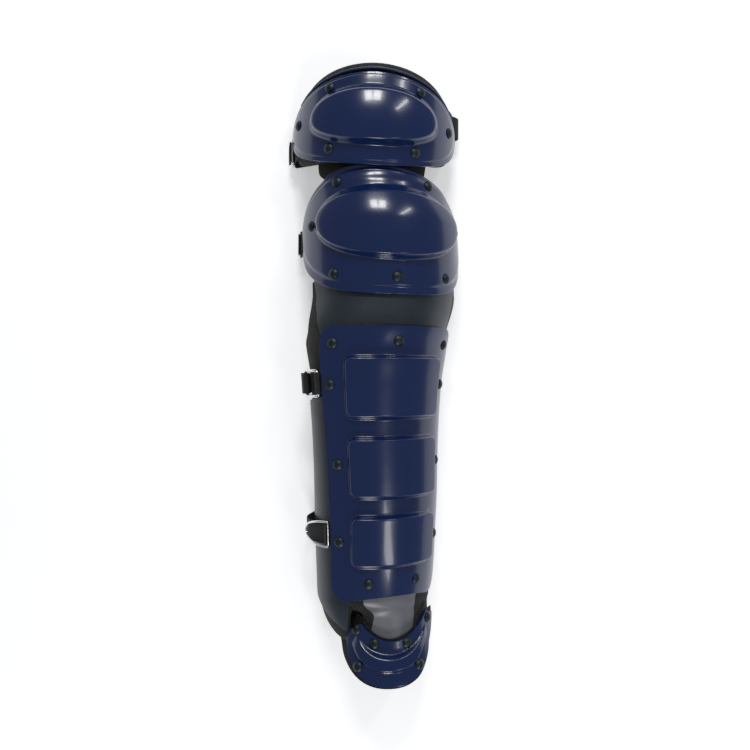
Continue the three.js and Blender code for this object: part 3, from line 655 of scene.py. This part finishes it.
def instep_point(across, share, height, wider=0):
    """A point of the instep cap, or of its binding where it is wider"""
    size = abs(across)
    inner_turn, inner_drop, inner_rise, inner_power = INSTEP_INNER
    outer_turn, outer_rise, outer_power = INSTEP_OUTER
    inner = SHIN_END - inner_drop + inner_rise * size ** inner_power
    outer = FOOT_END - wider + outer_rise * size ** outer_power
    turn = across * lerp(inner_turn, outer_turn + turn_of(wider) * BINDING_SIDE, share)
    if not wider:
        # The shell stops short of its binding at the sides
        turn *= 1 - (INSET_LEFT if across < 0 else INSET_RIGHT) * size
    rounding = clamp((size - EAR_ROUND) / (1 - EAR_ROUND), 0, 1)
    pinch = 0.5 - 0.5 * math.sqrt(1 - rounding ** 2)
    inner += wider * lerp(BINDING_INNER, BINDING_EAR, size ** 3)
    place = lerp(inner, outer, lerp(pinch, 1 - pinch, share))
    # The right ear stands higher than the left
    return skin(turn, place + RIGHT_EAR_RISE * ease(RIGHT_EAR_FROM, 1, across), height)


def instep_cap():
    def grid(height):
        rows = []
        for share in steps(48):
            band = INSTEP_LIFT * (ease(*INSTEP_BAND[:2], share) - ease(*INSTEP_BAND[2:], share))
            rows.append([
                instep_point(a, share, height + band * max(1 - (a / EAR_START) ** 4, 0))
                for a in steps(110, -1, 1)
            ])
        return rows
    points, faces = between(grid(SHELL_HIGH), grid(SHELL_LOW))
    soften(put("instep_cap", points, faces, GLOSS, "shell_gloss", ["instep_cap"]))


# Cloth: the sheet with its yoke and wings, and the pads. Flat sizes are in metres

YOKE_TUCK = 17
YOKE_LEFT = 70
YOKE_RIGHT = 80
WING_START = 10
WING_TIP = 37
PAD_MARGIN = 5
TIP_MARGIN = 7
# The wing's tip, in shares of the way across: it starts, hangs lowest, and has risen again by
# TIP_FALL of its length at the sheet's edge
TIP_FROM, TIP_AT = -0.36, -0.64
TIP_FALL = 0.62
TIP_FLARE = 0.25
SLATE_INSET = 0.07
SLATE_SHORT = 6
LEAST_MARGIN = 0.05

# Where the slate stops short of the knit behind it: place along the leg, left turn, right turn
SLATE_EDGES = [
    (90, 66, 70), (68, 63, 62), (52, 59, 58), (40, 56, 54), (33, 53, 52), (20, 51, 51),
    (-14, 51, 51), (-28, 88, 58), (-44, 88, 82), (-60, 88, 88), (-180, 86, 88), (-205, 76, 88),
    (-225, 67, 88), (-260, 64, 88),
]


def slate_edge(place, column):
    """The turn where the slate ends at a place, on the left or right"""
    rows = [row for row in zip(SLATE_EDGES, SLATE_EDGES[1:]) if row[1][0] <= place]
    above, low = rows[0] if rows else (SLATE_EDGES[-2], SLATE_EDGES[-1])
    return lerp(low[column], above[column], ease(low[0], above[0], place))


def sheet_point(across, share, beyond, below, height, slate=False):
    """A point of the sheet, or of the margin that the pad has round it"""
    start = KNEE_END + YOKE_TUCK
    nominal = lerp(start, SHIN_END, share)
    open_out = ease(WING_START, SHIN_TOP, nominal)
    turn = across * lerp(FOOT_TURN, YOKE_LEFT if across < 0 else YOKE_RIGHT, open_out)
    if slate and across:
        turn = across * min(slate_edge(nominal, 1 if across < 0 else 2), abs(turn / across))
    turn += beyond * max(open_out, LEAST_MARGIN)
    rise = ease(TIP_FROM - (SLATE_INSET if slate else 0), TIP_AT, across)
    tip = WING_TIP * (rise - TIP_FALL * ease(TIP_AT, -1, across))
    if slate:
        tip -= SLATE_SHORT * ease(0, 8, tip)
    place = lerp(start, SHIN_END + GAP * 4 - tip, share) - below
    # The wing's tip keeps the calf's width instead of closing in on the foot
    section = SHIN_END + (place - SHIN_END) * TIP_FLARE if place < SHIN_END else place
    point = skin(turn, section, height)
    point.y = place
    return point


def base_sheet():
    grids = [[[sheet_point(a, s, 0, 0, h, True) for a in steps(110, -1, 1)] for s in steps(150)]
             for h in (SHEET_HIGH, SHEET_LOW)]
    points, faces = between(*grids)
    piece = soften(put("base_sheet", points, faces, SLATE, "sheet_slate", ["base_sheet"]), 0.7)


def pillow(away, reach):
    """Half thickness of padding as a share, by the distance from its sewn edge"""
    return math.sqrt(max(1 - (1 - clamp(away / reach, 0.02, 1)) ** 2, 0))


SHEET_RUN = 320
PILLOW_REACH = 4.2


def shin_pad():
    margin = (0.25, 0.5, 0.7, 0.85, 0.95, 1)
    outward = [turn_of(PAD_MARGIN * m) for m in margin]
    columns = [(-1, -turn) for turn in reversed(outward)] + [(a, 0) for a in steps(90, -1, 1)]
    columns += [(1, turn) for turn in outward]
    rows = [(length / SHEET_RUN, 0) for length in (0.0, 0.8, 2.0, 3.4)]
    rows += [(s, 0) for s in steps(110)[2:]] + [(1, m * TIP_MARGIN) for m in margin]

    def grid(side):
        made = []
        for share, below in rows:
            line = []
            for across, beyond in columns:
                away = min(TIP_MARGIN - below, PAD_MARGIN - math.radians(abs(beyond)) * LEG_RADIUS)
                full = pillow(min(away, share * SHEET_RUN), PILLOW_REACH)
                height = PAD / 2 * (1 + side * full)
                line.append(sheet_point(across, share, beyond, below, height))
            made.append(line)
        return made
    points, faces = between(grid(1), grid(-1))
    piece = put("shin_pad", points, faces, KNIT, "pad_knit", ["shin_pad"])


PAD_POWER_UP = 2
PAD_POWER_DOWN = 3.6
PAD_POWER_DOWN_RIGHT = 2.3
ROUND_REACH = 4.6
CHANNEL_IN, CHANNEL_HALF, CHANNEL_DEEP = 6.5, 1.1, 0.22


def round_pad(name, cap, half, up, down, sectors=120):
    """Padding behind a cap, with a sewn channel inside its round edge"""
    smallest = min(up, down)
    rings = steps(26)[:-5] + [1 - d / smallest for d in (4.4, 3.2, 2.1, 1.2, 0.5, 0)]

    def grid(side):
        made = []
        for ring in rings:
            line = []
            for j in range(sectors):
                angle = 2 * math.pi * j / sectors
                low = PAD_POWER_DOWN if math.cos(angle) < 0 else PAD_POWER_DOWN_RIGHT
                power = PAD_POWER_UP if math.sin(angle) > 0 else low
                turn, place = round_point(half * ring, up * ring, down * ring, power, angle)
                away = (1 - ring) * smallest
                channel = math.exp(-((away - CHANNEL_IN) / CHANNEL_HALF) ** 2)
                full = pillow(away, ROUND_REACH) - CHANNEL_DEEP * channel
                height = SHEET_HIGH / 2 * (1 + side * full)
                line.append(slanted(cap, turn, cap["y"] + place, height))
            made.append(line)
        return made
    points, faces = between(grid(1), grid(-1), loop=True)
    piece = put(name, points, faces, KNIT, "pad_knit", [name])


UNDER_START = SHIN_END - PAD_MARGIN - 2
CLIMB_FROM, CLIMB_TO = UNDER_START - 5, UNDER_START + 2
SPREAD_FROM, SPREAD_TO = UNDER_START - 3, UNDER_START - 16
FOOT_PAD_END = FOOT_END + 4
FOOT_PAD_LEFT, FOOT_PAD_RIGHT = 46, 62
FOOT_PAD_SPREAD = 84
FOOT_PAD_WIDEST = 64
FOOT_PAD_ROUND = 38
FOOT_PAD_POWER = 0.43
FOOT_PAD_KEPT = FOOT_END + 44
TONGUE_HALF = 33
TONGUE_START = UNDER_START + 14
TONGUE_END = FOOT_END + 26
TONGUE_CLIMB = WEB_LOW - SHEET_LOW - 0.9
BANDS = (("tongue_band_left", 40, -26), ("tongue_band_right", -27, 60))
BAND_SHORT = 2
BAND_LOW, BAND_HIGH = 0.1, 0.75


def tongue_lift(place):
    """The tongue climbs over the sheet's lower edge and under the shin shell"""
    return TONGUE_CLIMB * ease(CLIMB_FROM, CLIMB_TO, place)


def foot_turn(turn, place, left):
    """The pad spreads under the wing's tip and closes round the instep"""
    if turn < 0:
        turn *= lerp(1, FOOT_PAD_SPREAD / left, ease(SPREAD_FROM, SPREAD_TO, place))
    closing = (max(place - FOOT_END + 1, 0) / FOOT_PAD_ROUND) ** FOOT_PAD_POWER
    limit = FOOT_PAD_WIDEST * closing
    return clamp(turn, -max(limit, left if place > FOOT_PAD_KEPT else 0), limit)


def foot_patch(name, left, right, start, end, low, high, cloth, slot, lifted=False):
    def point(turn, place, height):
        if lifted:
            return skin(turn, place, height + tongue_lift(place))
        return skin(foot_turn(turn, place, left), place, height)
    grids = [[[point(turn, place, h) for turn in steps(60, -left, right)]
              for place in steps(60, start, end)] for h in (high, low)]
    points, faces = between(*grids)
    nodes = [name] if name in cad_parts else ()
    return soften(put(name, points, faces, cloth, slot, nodes), 0.5)


def tongue_and_pad():
    pad = foot_patch("foot_pad", FOOT_PAD_LEFT, FOOT_PAD_RIGHT, UNDER_START, FOOT_PAD_END,
                     0, PAD, KNIT, "pad_knit")
    tongue = foot_patch("tongue", TONGUE_HALF, TONGUE_HALF, TONGUE_START, TONGUE_END,
                        SHEET_LOW + 3 * GAP, SHEET_HIGH, SATIN, "tongue_satin", lifted=True)
    for name, left, right in BANDS:
        band = foot_patch(name, left, right, TONGUE_START, TONGUE_END - BAND_SHORT,
                          SHEET_HIGH + BAND_LOW, SHEET_HIGH + BAND_HIGH, KNIT, "pad_knit",
                          lifted=True)


PIPING = 3
PIPING_OUT = 4.5
PIPING_FROM = 34


def thigh_piping():
    rings = []
    for share in steps(90):
        angle = math.radians(lerp(PIPING_FROM, 180 - PIPING_FROM, share))
        ring = []
        for j in range(12):
            turned = 2 * math.pi * j / 12
            out = PIPING_OUT + PIPING / 2 * math.cos(turned)
            turn, place = round_point(THIGH_CAP["half"] + turn_of(out), THIGH_CAP["up"] + out, 0,
                                      THIGH_CAP["power"], angle)
            height = SHEET_HIGH + GAP + PIPING / 2 * (1 + math.sin(turned))
            ring.append(slanted(THIGH_CAP, turn, THIGH_CAP["y"] + place, height))
        rings.append(ring)
    put("thigh_piping", *along(rings), PIPE, "piping_blue", ["thigh_piping"])


LINK_DEPTH = 3.4
LINK_HALF = 56
LINK_UP = 24
LINK_DOWN = 30
LINK_TURN = 12


def neck_link():
    def grid(height):
        made = []
        for place in steps(40, THIGH_END + LINK_UP, KNEE_TOP - LINK_DOWN):
            share = ease(KNEE_TOP - LINK_TURN, THIGH_END + LINK_TURN / 2, place)
            shape = dict(THIGH_CAP, lean=lerp(0, THIGH_CAP["lean"], share),
                         skew=lerp(KNEE_CAP["skew"], THIGH_CAP["skew"], share))
            made.append([slanted(shape, turn, place, height)
                         for turn in steps(60, -LINK_HALF, LINK_HALF)])
        return made
    points, faces = between(grid(-LINK_DEPTH), grid(-LINK_DEPTH - SHEET))
    piece = soften(put("neck_link", points, faces, KNIT, "link_knit", ["neck_link"]), 0.5)


def binding_point(across, share, height):
    """Knit binding round the instep cap: narrow at the rim's middle and wide at its ears"""
    ear = BINDING_LEFT if across < 0 else BINDING_RIGHT
    wider = lerp(BINDING_MIDDLE, ear, abs(across) ** BINDING_POWER)
    return instep_point(across, share, height, wider)


def instep_binding():
    grids = [[[binding_point(a, share, height) for a in steps(110, -1, 1)] for share in steps(20)]
             for height in (WEB_HIGH, WEB_LOW + GAP)]
    points, faces = between(*grids)
    soften(put("instep_binding", points, faces, KNIT, "binding_knit", ["instep_binding"]), 0.35)


# Straps, tabs and rings

# Each strap has the turns of its tab and of the edge that its ring hangs over, how far the ring
# starts from that edge, how deep it is and how long the fold's tail is. A tail under 0 is a strap
# that runs on flat under its ring
SIDE_FIT = {"tab_turn": 66, "edge": -80, "depth": 13, "tail": 1}
SHIN_FIT = {"tab_turn": 41, "edge": -SHIN_HALF, "away": 4, "depth": 22, "tail": 6}
STRAPS = [
    dict(SIDE_FIT, name="thigh", shape=THIGH_CAP, left=along_thigh(0.68), right=along_thigh(0.28),
         away=-1, slack=5),
    dict(SIDE_FIT, name="knee", shape=KNEE_CAP, left=along_knee(0.53), right=along_knee(0.53),
         away=6),
    dict(SHIN_FIT, name="calf", shape=PLAIN, left=along_shin(0.205), right=along_shin(0.215)),
    dict(SHIN_FIT, name="ankle", shape=PLAIN, left=along_shin(0.76), right=along_shin(0.73),
         depth=32, tail=-1, wire=2, loose=6),
]
SLACK_FROM = 79
LOOSE_FROM = 4
LOOSE_POWER = 1.3
WEB_MIDDLE = (WEB_LOW + WEB_HIGH) / 2 + GAP
RING_HEIGHT = WEB_HIGH + GAP + RING_WIRE / 2 + 2 * GAP
FOLD_RADIUS = RING_WIRE / 2 + 2 * GAP + WEBBING / 2
RING_CORNER = 3


@functools.lru_cache(maxsize=None)
def turn_further(turn, place, length):
    """The turn that lies a length further round at a place"""
    step = math.copysign(1, turn) * math.copysign(1, length)
    at, left = turn, abs(length)
    before = skin(at, place, WEB_HIGH)
    while left > 0:
        after = skin(at + step, place, WEB_HIGH)
        size = (after - before).length
        if size >= left:
            return at + step * left / size
        left -= size
        at += step
        before = after
    return at


def bulge(strap, turn):
    """How far a loose strap stands off the wall, at a turn"""
    start = abs(strap["edge"]) + LOOSE_FROM
    share = clamp((abs(turn) - start) / (FOOT_TURN - start), 0, 1)
    return strap.get("loose", 0) * math.sin(math.pi * share) ** LOOSE_POWER


def ring_skin(strap, reach, width, height):
    """A point at a strap's ring: how far from the edge, and how far along the leg"""
    place = strap["left"] + width
    turn = turn_further(strap["edge"], place, reach)
    return slanted(strap["shape"], turn, place, height + bulge(strap, turn))


def fold(strap, reach, width, side, tail):
    """Webbing round the ring's wire, with its tail sewn back"""
    line = []
    for share in steps(16):
        turned = math.pi * share
        shift = reach - side * FOLD_RADIUS * math.sin(turned)
        line.append(ring_skin(strap, shift, width, RING_HEIGHT - FOLD_RADIUS * math.cos(turned)))
    for share in steps(4)[1:]:
        line.append(ring_skin(strap, reach + side * tail * share, width, RING_HEIGHT + FOLD_RADIUS))
    return line


def strap_route(strap, width):
    """A line of the strap: from its right end, across the back, up to the ring on the left"""
    at_left, at_right = strap["left"] + width, strap["right"] + width

    def on(turn, place, height):
        return slanted(strap["shape"], turn, place, height)

    def slack(turn):
        # On the right the thigh strap leaves the cap's rim in a slack bow
        share = clamp((turn - SLACK_FROM) / (FOOT_TURN - SLACK_FROM), 0, 1)
        return strap.get("slack", 0) * math.sin(math.pi * share)

    line = [on(turn, at_right, WEB_MIDDLE + slack(turn))
            for turn in steps(36, strap["tab_turn"], FOOT_TURN)]
    right = on(FOOT_TURN, at_right, SHEET_HIGH)
    left = on(-FOOT_TURN, at_left, SHEET_HIGH)
    for share in steps(10):
        point = right.lerp(left, share)
        point.z = WEBBING / 2
        line.append(point)
    if strap["tail"] < 0:
        # The ring of this strap lies on it, so the strap runs on flat under the ring
        end = turn_further(strap["edge"], at_left, strap["away"] + FOLD_RADIUS + 2 * WEBBING)
        return line + [on(turn, at_left, WEB_MIDDLE + bulge(strap, turn))
                       for turn in steps(24, -FOOT_TURN, end)]
    reach = strap["away"] + strap["depth"] - RING_WIRE
    end = turn_further(strap["edge"], at_left, reach)
    line += [on(turn, at_left, WEB_MIDDLE) for turn in steps(24, -FOOT_TURN, end)[:-1]]
    return line + fold(strap, reach, width, 1, strap["tail"])


def tab_route(strap, width):
    """A line of the tab that holds the ring to the shell"""
    place = strap["left"] + width
    end = turn_further(strap["edge"], place, strap["away"])
    line = [slanted(strap["shape"], turn, place, WEB_MIDDLE)
            for turn in steps(12, -strap["tab_turn"], end)[:-1]]
    return line + fold(strap, strap["away"], width, -1, max(strap["tail"], 1) / 2)


def webbing(name, route_at):
    """A strip of webbing, through one route for each step across its width"""
    lines = [route_at(width) for width in steps(6, -STRAP_WIDTH / 2, STRAP_WIDTH / 2)]

    def offset(side):
        made = []
        for line in lines:
            moved = []
            for i, point in enumerate(line):
                run = line[min(i + 1, len(line) - 1)] - line[max(i - 1, 0)]
                run.y = 0
                run.normalize()
                moved.append(point + Vector((-run.z, 0, run.x)) * side * WEBBING / 2)
            made.append(moved)
        return [[line[i] for line in made] for i in range(len(made[0]))]
    points, faces = between(offset(1), offset(-1))
    soften(put(name, points, faces, WEB, "webbing", [name]), 0.4, 2)


def ring_path(strap):
    """The ring's wire, as reach from the edge and width along the leg"""
    half = (RING_WIDTH - RING_WIRE) / 2
    if strap["tail"] < 0:
        # A D, its round side away from the shell
        bow = [math.pi * (share - 0.5) for share in steps(40)]
        reach = strap["depth"] - RING_WIRE
        return [(strap["away"] + reach * math.cos(a), half * math.sin(a)) for a in bow] \
            + [(strap["away"], lerp(half, -half, share)) for share in steps(20)[1:-1]]
    near = strap["away"] + RING_CORNER
    far = strap["away"] + strap["depth"] - RING_WIRE - RING_CORNER
    side = half - RING_CORNER
    path = []
    corners = ((far, side), (near, side), (near, -side), (far, -side))
    for quarter, corner in enumerate(corners):
        following = corners[(quarter + 1) % 4]
        for share in steps(6):
            angle = math.pi / 2 * (quarter + share)
            path.append((corner[0] + RING_CORNER * math.cos(angle),
                         corner[1] + RING_CORNER * math.sin(angle)))
        angle = math.pi / 2 * (quarter + 1)
        for share in steps(6)[1:-1]:
            path.append((lerp(corner[0], following[0], share) + RING_CORNER * math.cos(angle),
                         lerp(corner[1], following[1], share) + RING_CORNER * math.sin(angle)))
    return path


def wire_ring(strap, sides=14):
    path = ring_path(strap)
    centre = [ring_skin(strap, reach, width, RING_HEIGHT) for reach, width in path]
    up = [(ring_skin(strap, reach, width, RING_HEIGHT + 1) - c).normalized()
          for (reach, width), c in zip(path, centre)]
    rings = []
    for i, point in enumerate(centre):
        run = (centre[(i + 1) % len(centre)] - centre[i - 1]).normalized()
        outward = run.cross(up[i]).normalized()
        rise = outward.cross(run)
        rings.append([
            point + (outward * math.cos(2 * math.pi * j / sides)
                     + rise * math.sin(2 * math.pi * j / sides)) * strap.get("wire", RING_WIRE) / 2
            for j in range(sides)
        ])
    name = "ring_" + strap["name"]
    # Painted shade: the knee's ring is chrome like the others, but it is given the dark rivet metal
    # to stand in for the shade it lies in
    ring_metal_and_knee_shade, slot = (RIVET, "rivet_dark") if strap["name"] == "knee" else (CHROME, "ring_chrome")
    put(name, *along(rings, closed=True), ring_metal_and_knee_shade, slot, [name])


# Rivets

RIVET_SEAT = 0.3
# Radius and height, from the dome's top down to its seat
RIVET_PROFILE = [
    (0, 2.3), (1.4, 2.2), (2.7, 1.85), (3.7, 1.25), (4.4, 0.62), (4.75, 0.3), (4.8, 0.1),
    (4.7, 0.0),
]


def both_sides(u, v):
    return [(-u, v), (u, v)]


def tucked(cap):
    def surface(turn, rise, height):
        return slanted(cap, turn, cap["y"] + rise, height - rim_tuck(cap, rise))
    return surface


# For each shell: its surface, then the rivets on it as that surface takes them
RIVET_SETS = {
    "thigh": (tucked(THIGH_CAP), [
        *both_sides(31, 0.69 * THIGH_CAP["up"]), *both_sides(61, 0.07 * THIGH_CAP["up"]),
        *both_sides(29, -0.65 * THIGH_CAP["down"]),
    ]),
    "knee": (tucked(KNEE_CAP), [
        *both_sides(36, 0.71 * KNEE_CAP["up"]), *both_sides(61, 0),
        *both_sides(42, -0.72 * KNEE_CAP["down"]), (2, -0.76 * KNEE_CAP["down"]),
    ]),
    "shin": (skin, [
        (0, along_shin(0.053)), *both_sides(43.4, along_shin(0.061)),
        *both_sides(46.6, along_shin(0.209)), *both_sides(44.5, along_shin(0.498)),
        *both_sides(45.6, along_shin(0.781)),
        *both_sides(21.3, along_shin(0.931)),
    ]),
    "instep": (instep_point, [
        *both_sides(0.36, 0.15), *both_sides(0.55, 0.85), *both_sides(0.9, 0.3),
    ]),
}


def rivets(name, surface, spots, sides=28):
    """The rivets of a shell as one piece, each dome square to the surface"""
    points, faces = [], []
    for u, v in spots:
        point = surface(u, v, SHELL_HIGH)
        run = surface(u + 0.01, v, SHELL_HIGH) - point
        rise = surface(u, v + 0.01, SHELL_HIGH) - point
        normal = run.cross(rise).normalized()
        if normal.dot(surface(u, v, SHELL_HIGH + 1) - point) < 0:
            normal.negate()
        turn = Vector((0, 0, 1)).rotation_difference(normal)
        start = len(points)
        for radius, height in RIVET_PROFILE:
            for j in range(sides):
                angle = 2 * math.pi * j / sides
                across, along_leg = radius * math.cos(angle), radius * math.sin(angle)
                points.append(point + turn @ Vector((across, along_leg, height + RIVET_SEAT)))
        faces += sheet_faces(len(RIVET_PROFILE), sides, True, start)
        faces.append([start + (len(RIVET_PROFILE) - 1) * sides + j for j in range(sides)])
    nodes = [f"rivet_{name}_{i + 1}" for i in range(len(spots))]
    put(f"rivets_{name}", points, faces, RIVET, "rivet_dark", nodes)


# The guard

cap_shell("thigh_cap", THIGH_CAP)
cap_shell("knee_cap", KNEE_CAP)
shin_shell()
instep_cap()
shin_pad()
base_sheet()
round_pad("thigh_pad", THIGH_CAP,
          half=90, up=THIGH_CAP["up"] + 12, down=THIGH_CAP["down"] - 6)
round_pad("knee_pad", KNEE_CAP,
          half=88, up=KNEE_CAP["up"] - 9, down=KNEE_CAP["down"] - YOKE_TUCK - 6)
thigh_piping()
neck_link()
tongue_and_pad()
instep_binding()
for strap in STRAPS:
    webbing("strap_" + strap["name"], functools.partial(strap_route, strap))
    webbing("tab_" + strap["name"], functools.partial(tab_route, strap))
    wire_ring(strap)
for label, (surface, spots) in RIVET_SETS.items():
    rivets(label, surface, spots)


# Floor, lights and camera

def floor():
    mesh = bpy.data.meshes.new("floor")
    mesh.from_pydata([(-3, -3, 0), (3, -3, 0), (3, 3, 0), (-3, 3, 0)], [], [(0, 1, 2, 3)])
    ground = bpy.data.objects.new("floor", mesh)
    bpy.context.collection.objects.link(ground)
    made, _, _, shader, _ = material("pale_floor", 0.9)
    shader.inputs["Base Color"].default_value = (0.9, 0.9, 0.9, 1)
    shader.inputs["Emission Color"].default_value = (1, 1, 1, 1)
    shader.inputs["Emission Strength"].default_value = 0.4
    mesh.materials.append(made)


def softbox(name, place, aim, size, power):
    light = bpy.data.lights.new(name, "AREA")
    light.shape = "RECTANGLE"
    light.size, light.size_y = size
    light.energy = power
    lamp = bpy.data.objects.new(name, light)
    lamp.location = place
    lamp.rotation_euler = (Vector(aim) - Vector(place)).to_track_quat("-Z", "Y").to_euler()
    bpy.context.collection.objects.link(lamp)


floor()
for pane, across in (("window_left", -0.14), ("window_right", 0.1)):
    softbox(pane, (across, 1.2, 1.1), (0, 0.1, 0), (0.2, 0.3), 4.5)
softbox("door", (0.75, 0.95, 1.0), (0, 0, 0), (0.08, 0.5), 2.5)
softbox("side_window", (0.95, -0.8, 1.6), (0, -0.15, 0), (0.22, 0.45), 3)
softbox("room_low", (0.05, -1.4, 0.8), (0, -0.1, 0), (0.4, 0.16), 8)
world = bpy.data.worlds.new("pale_room")
world.use_nodes = True
world.node_tree.nodes["Background"].inputs["Color"].default_value = (0.9, 0.94, 1.0, 1)
world.node_tree.nodes["Background"].inputs["Strength"].default_value = 0.25
bpy.context.scene.world = world
bpy.context.scene.view_settings.view_transform = "Standard"

CAMERA_HEIGHT = 680
SENSOR_WIDTH = 36
FOCAL_LENGTH = 32.64
lens = bpy.data.cameras.new("photo_camera")
lens.sensor_width = SENSOR_WIDTH
lens.lens = FOCAL_LENGTH
camera = bpy.data.objects.new("photo_camera", lens)
camera.location = (Vector((0, 0, CAMERA_HEIGHT)) + DRAWING_PLACE) * MM
bpy.context.collection.objects.link(camera)
bpy.context.scene.camera = camera
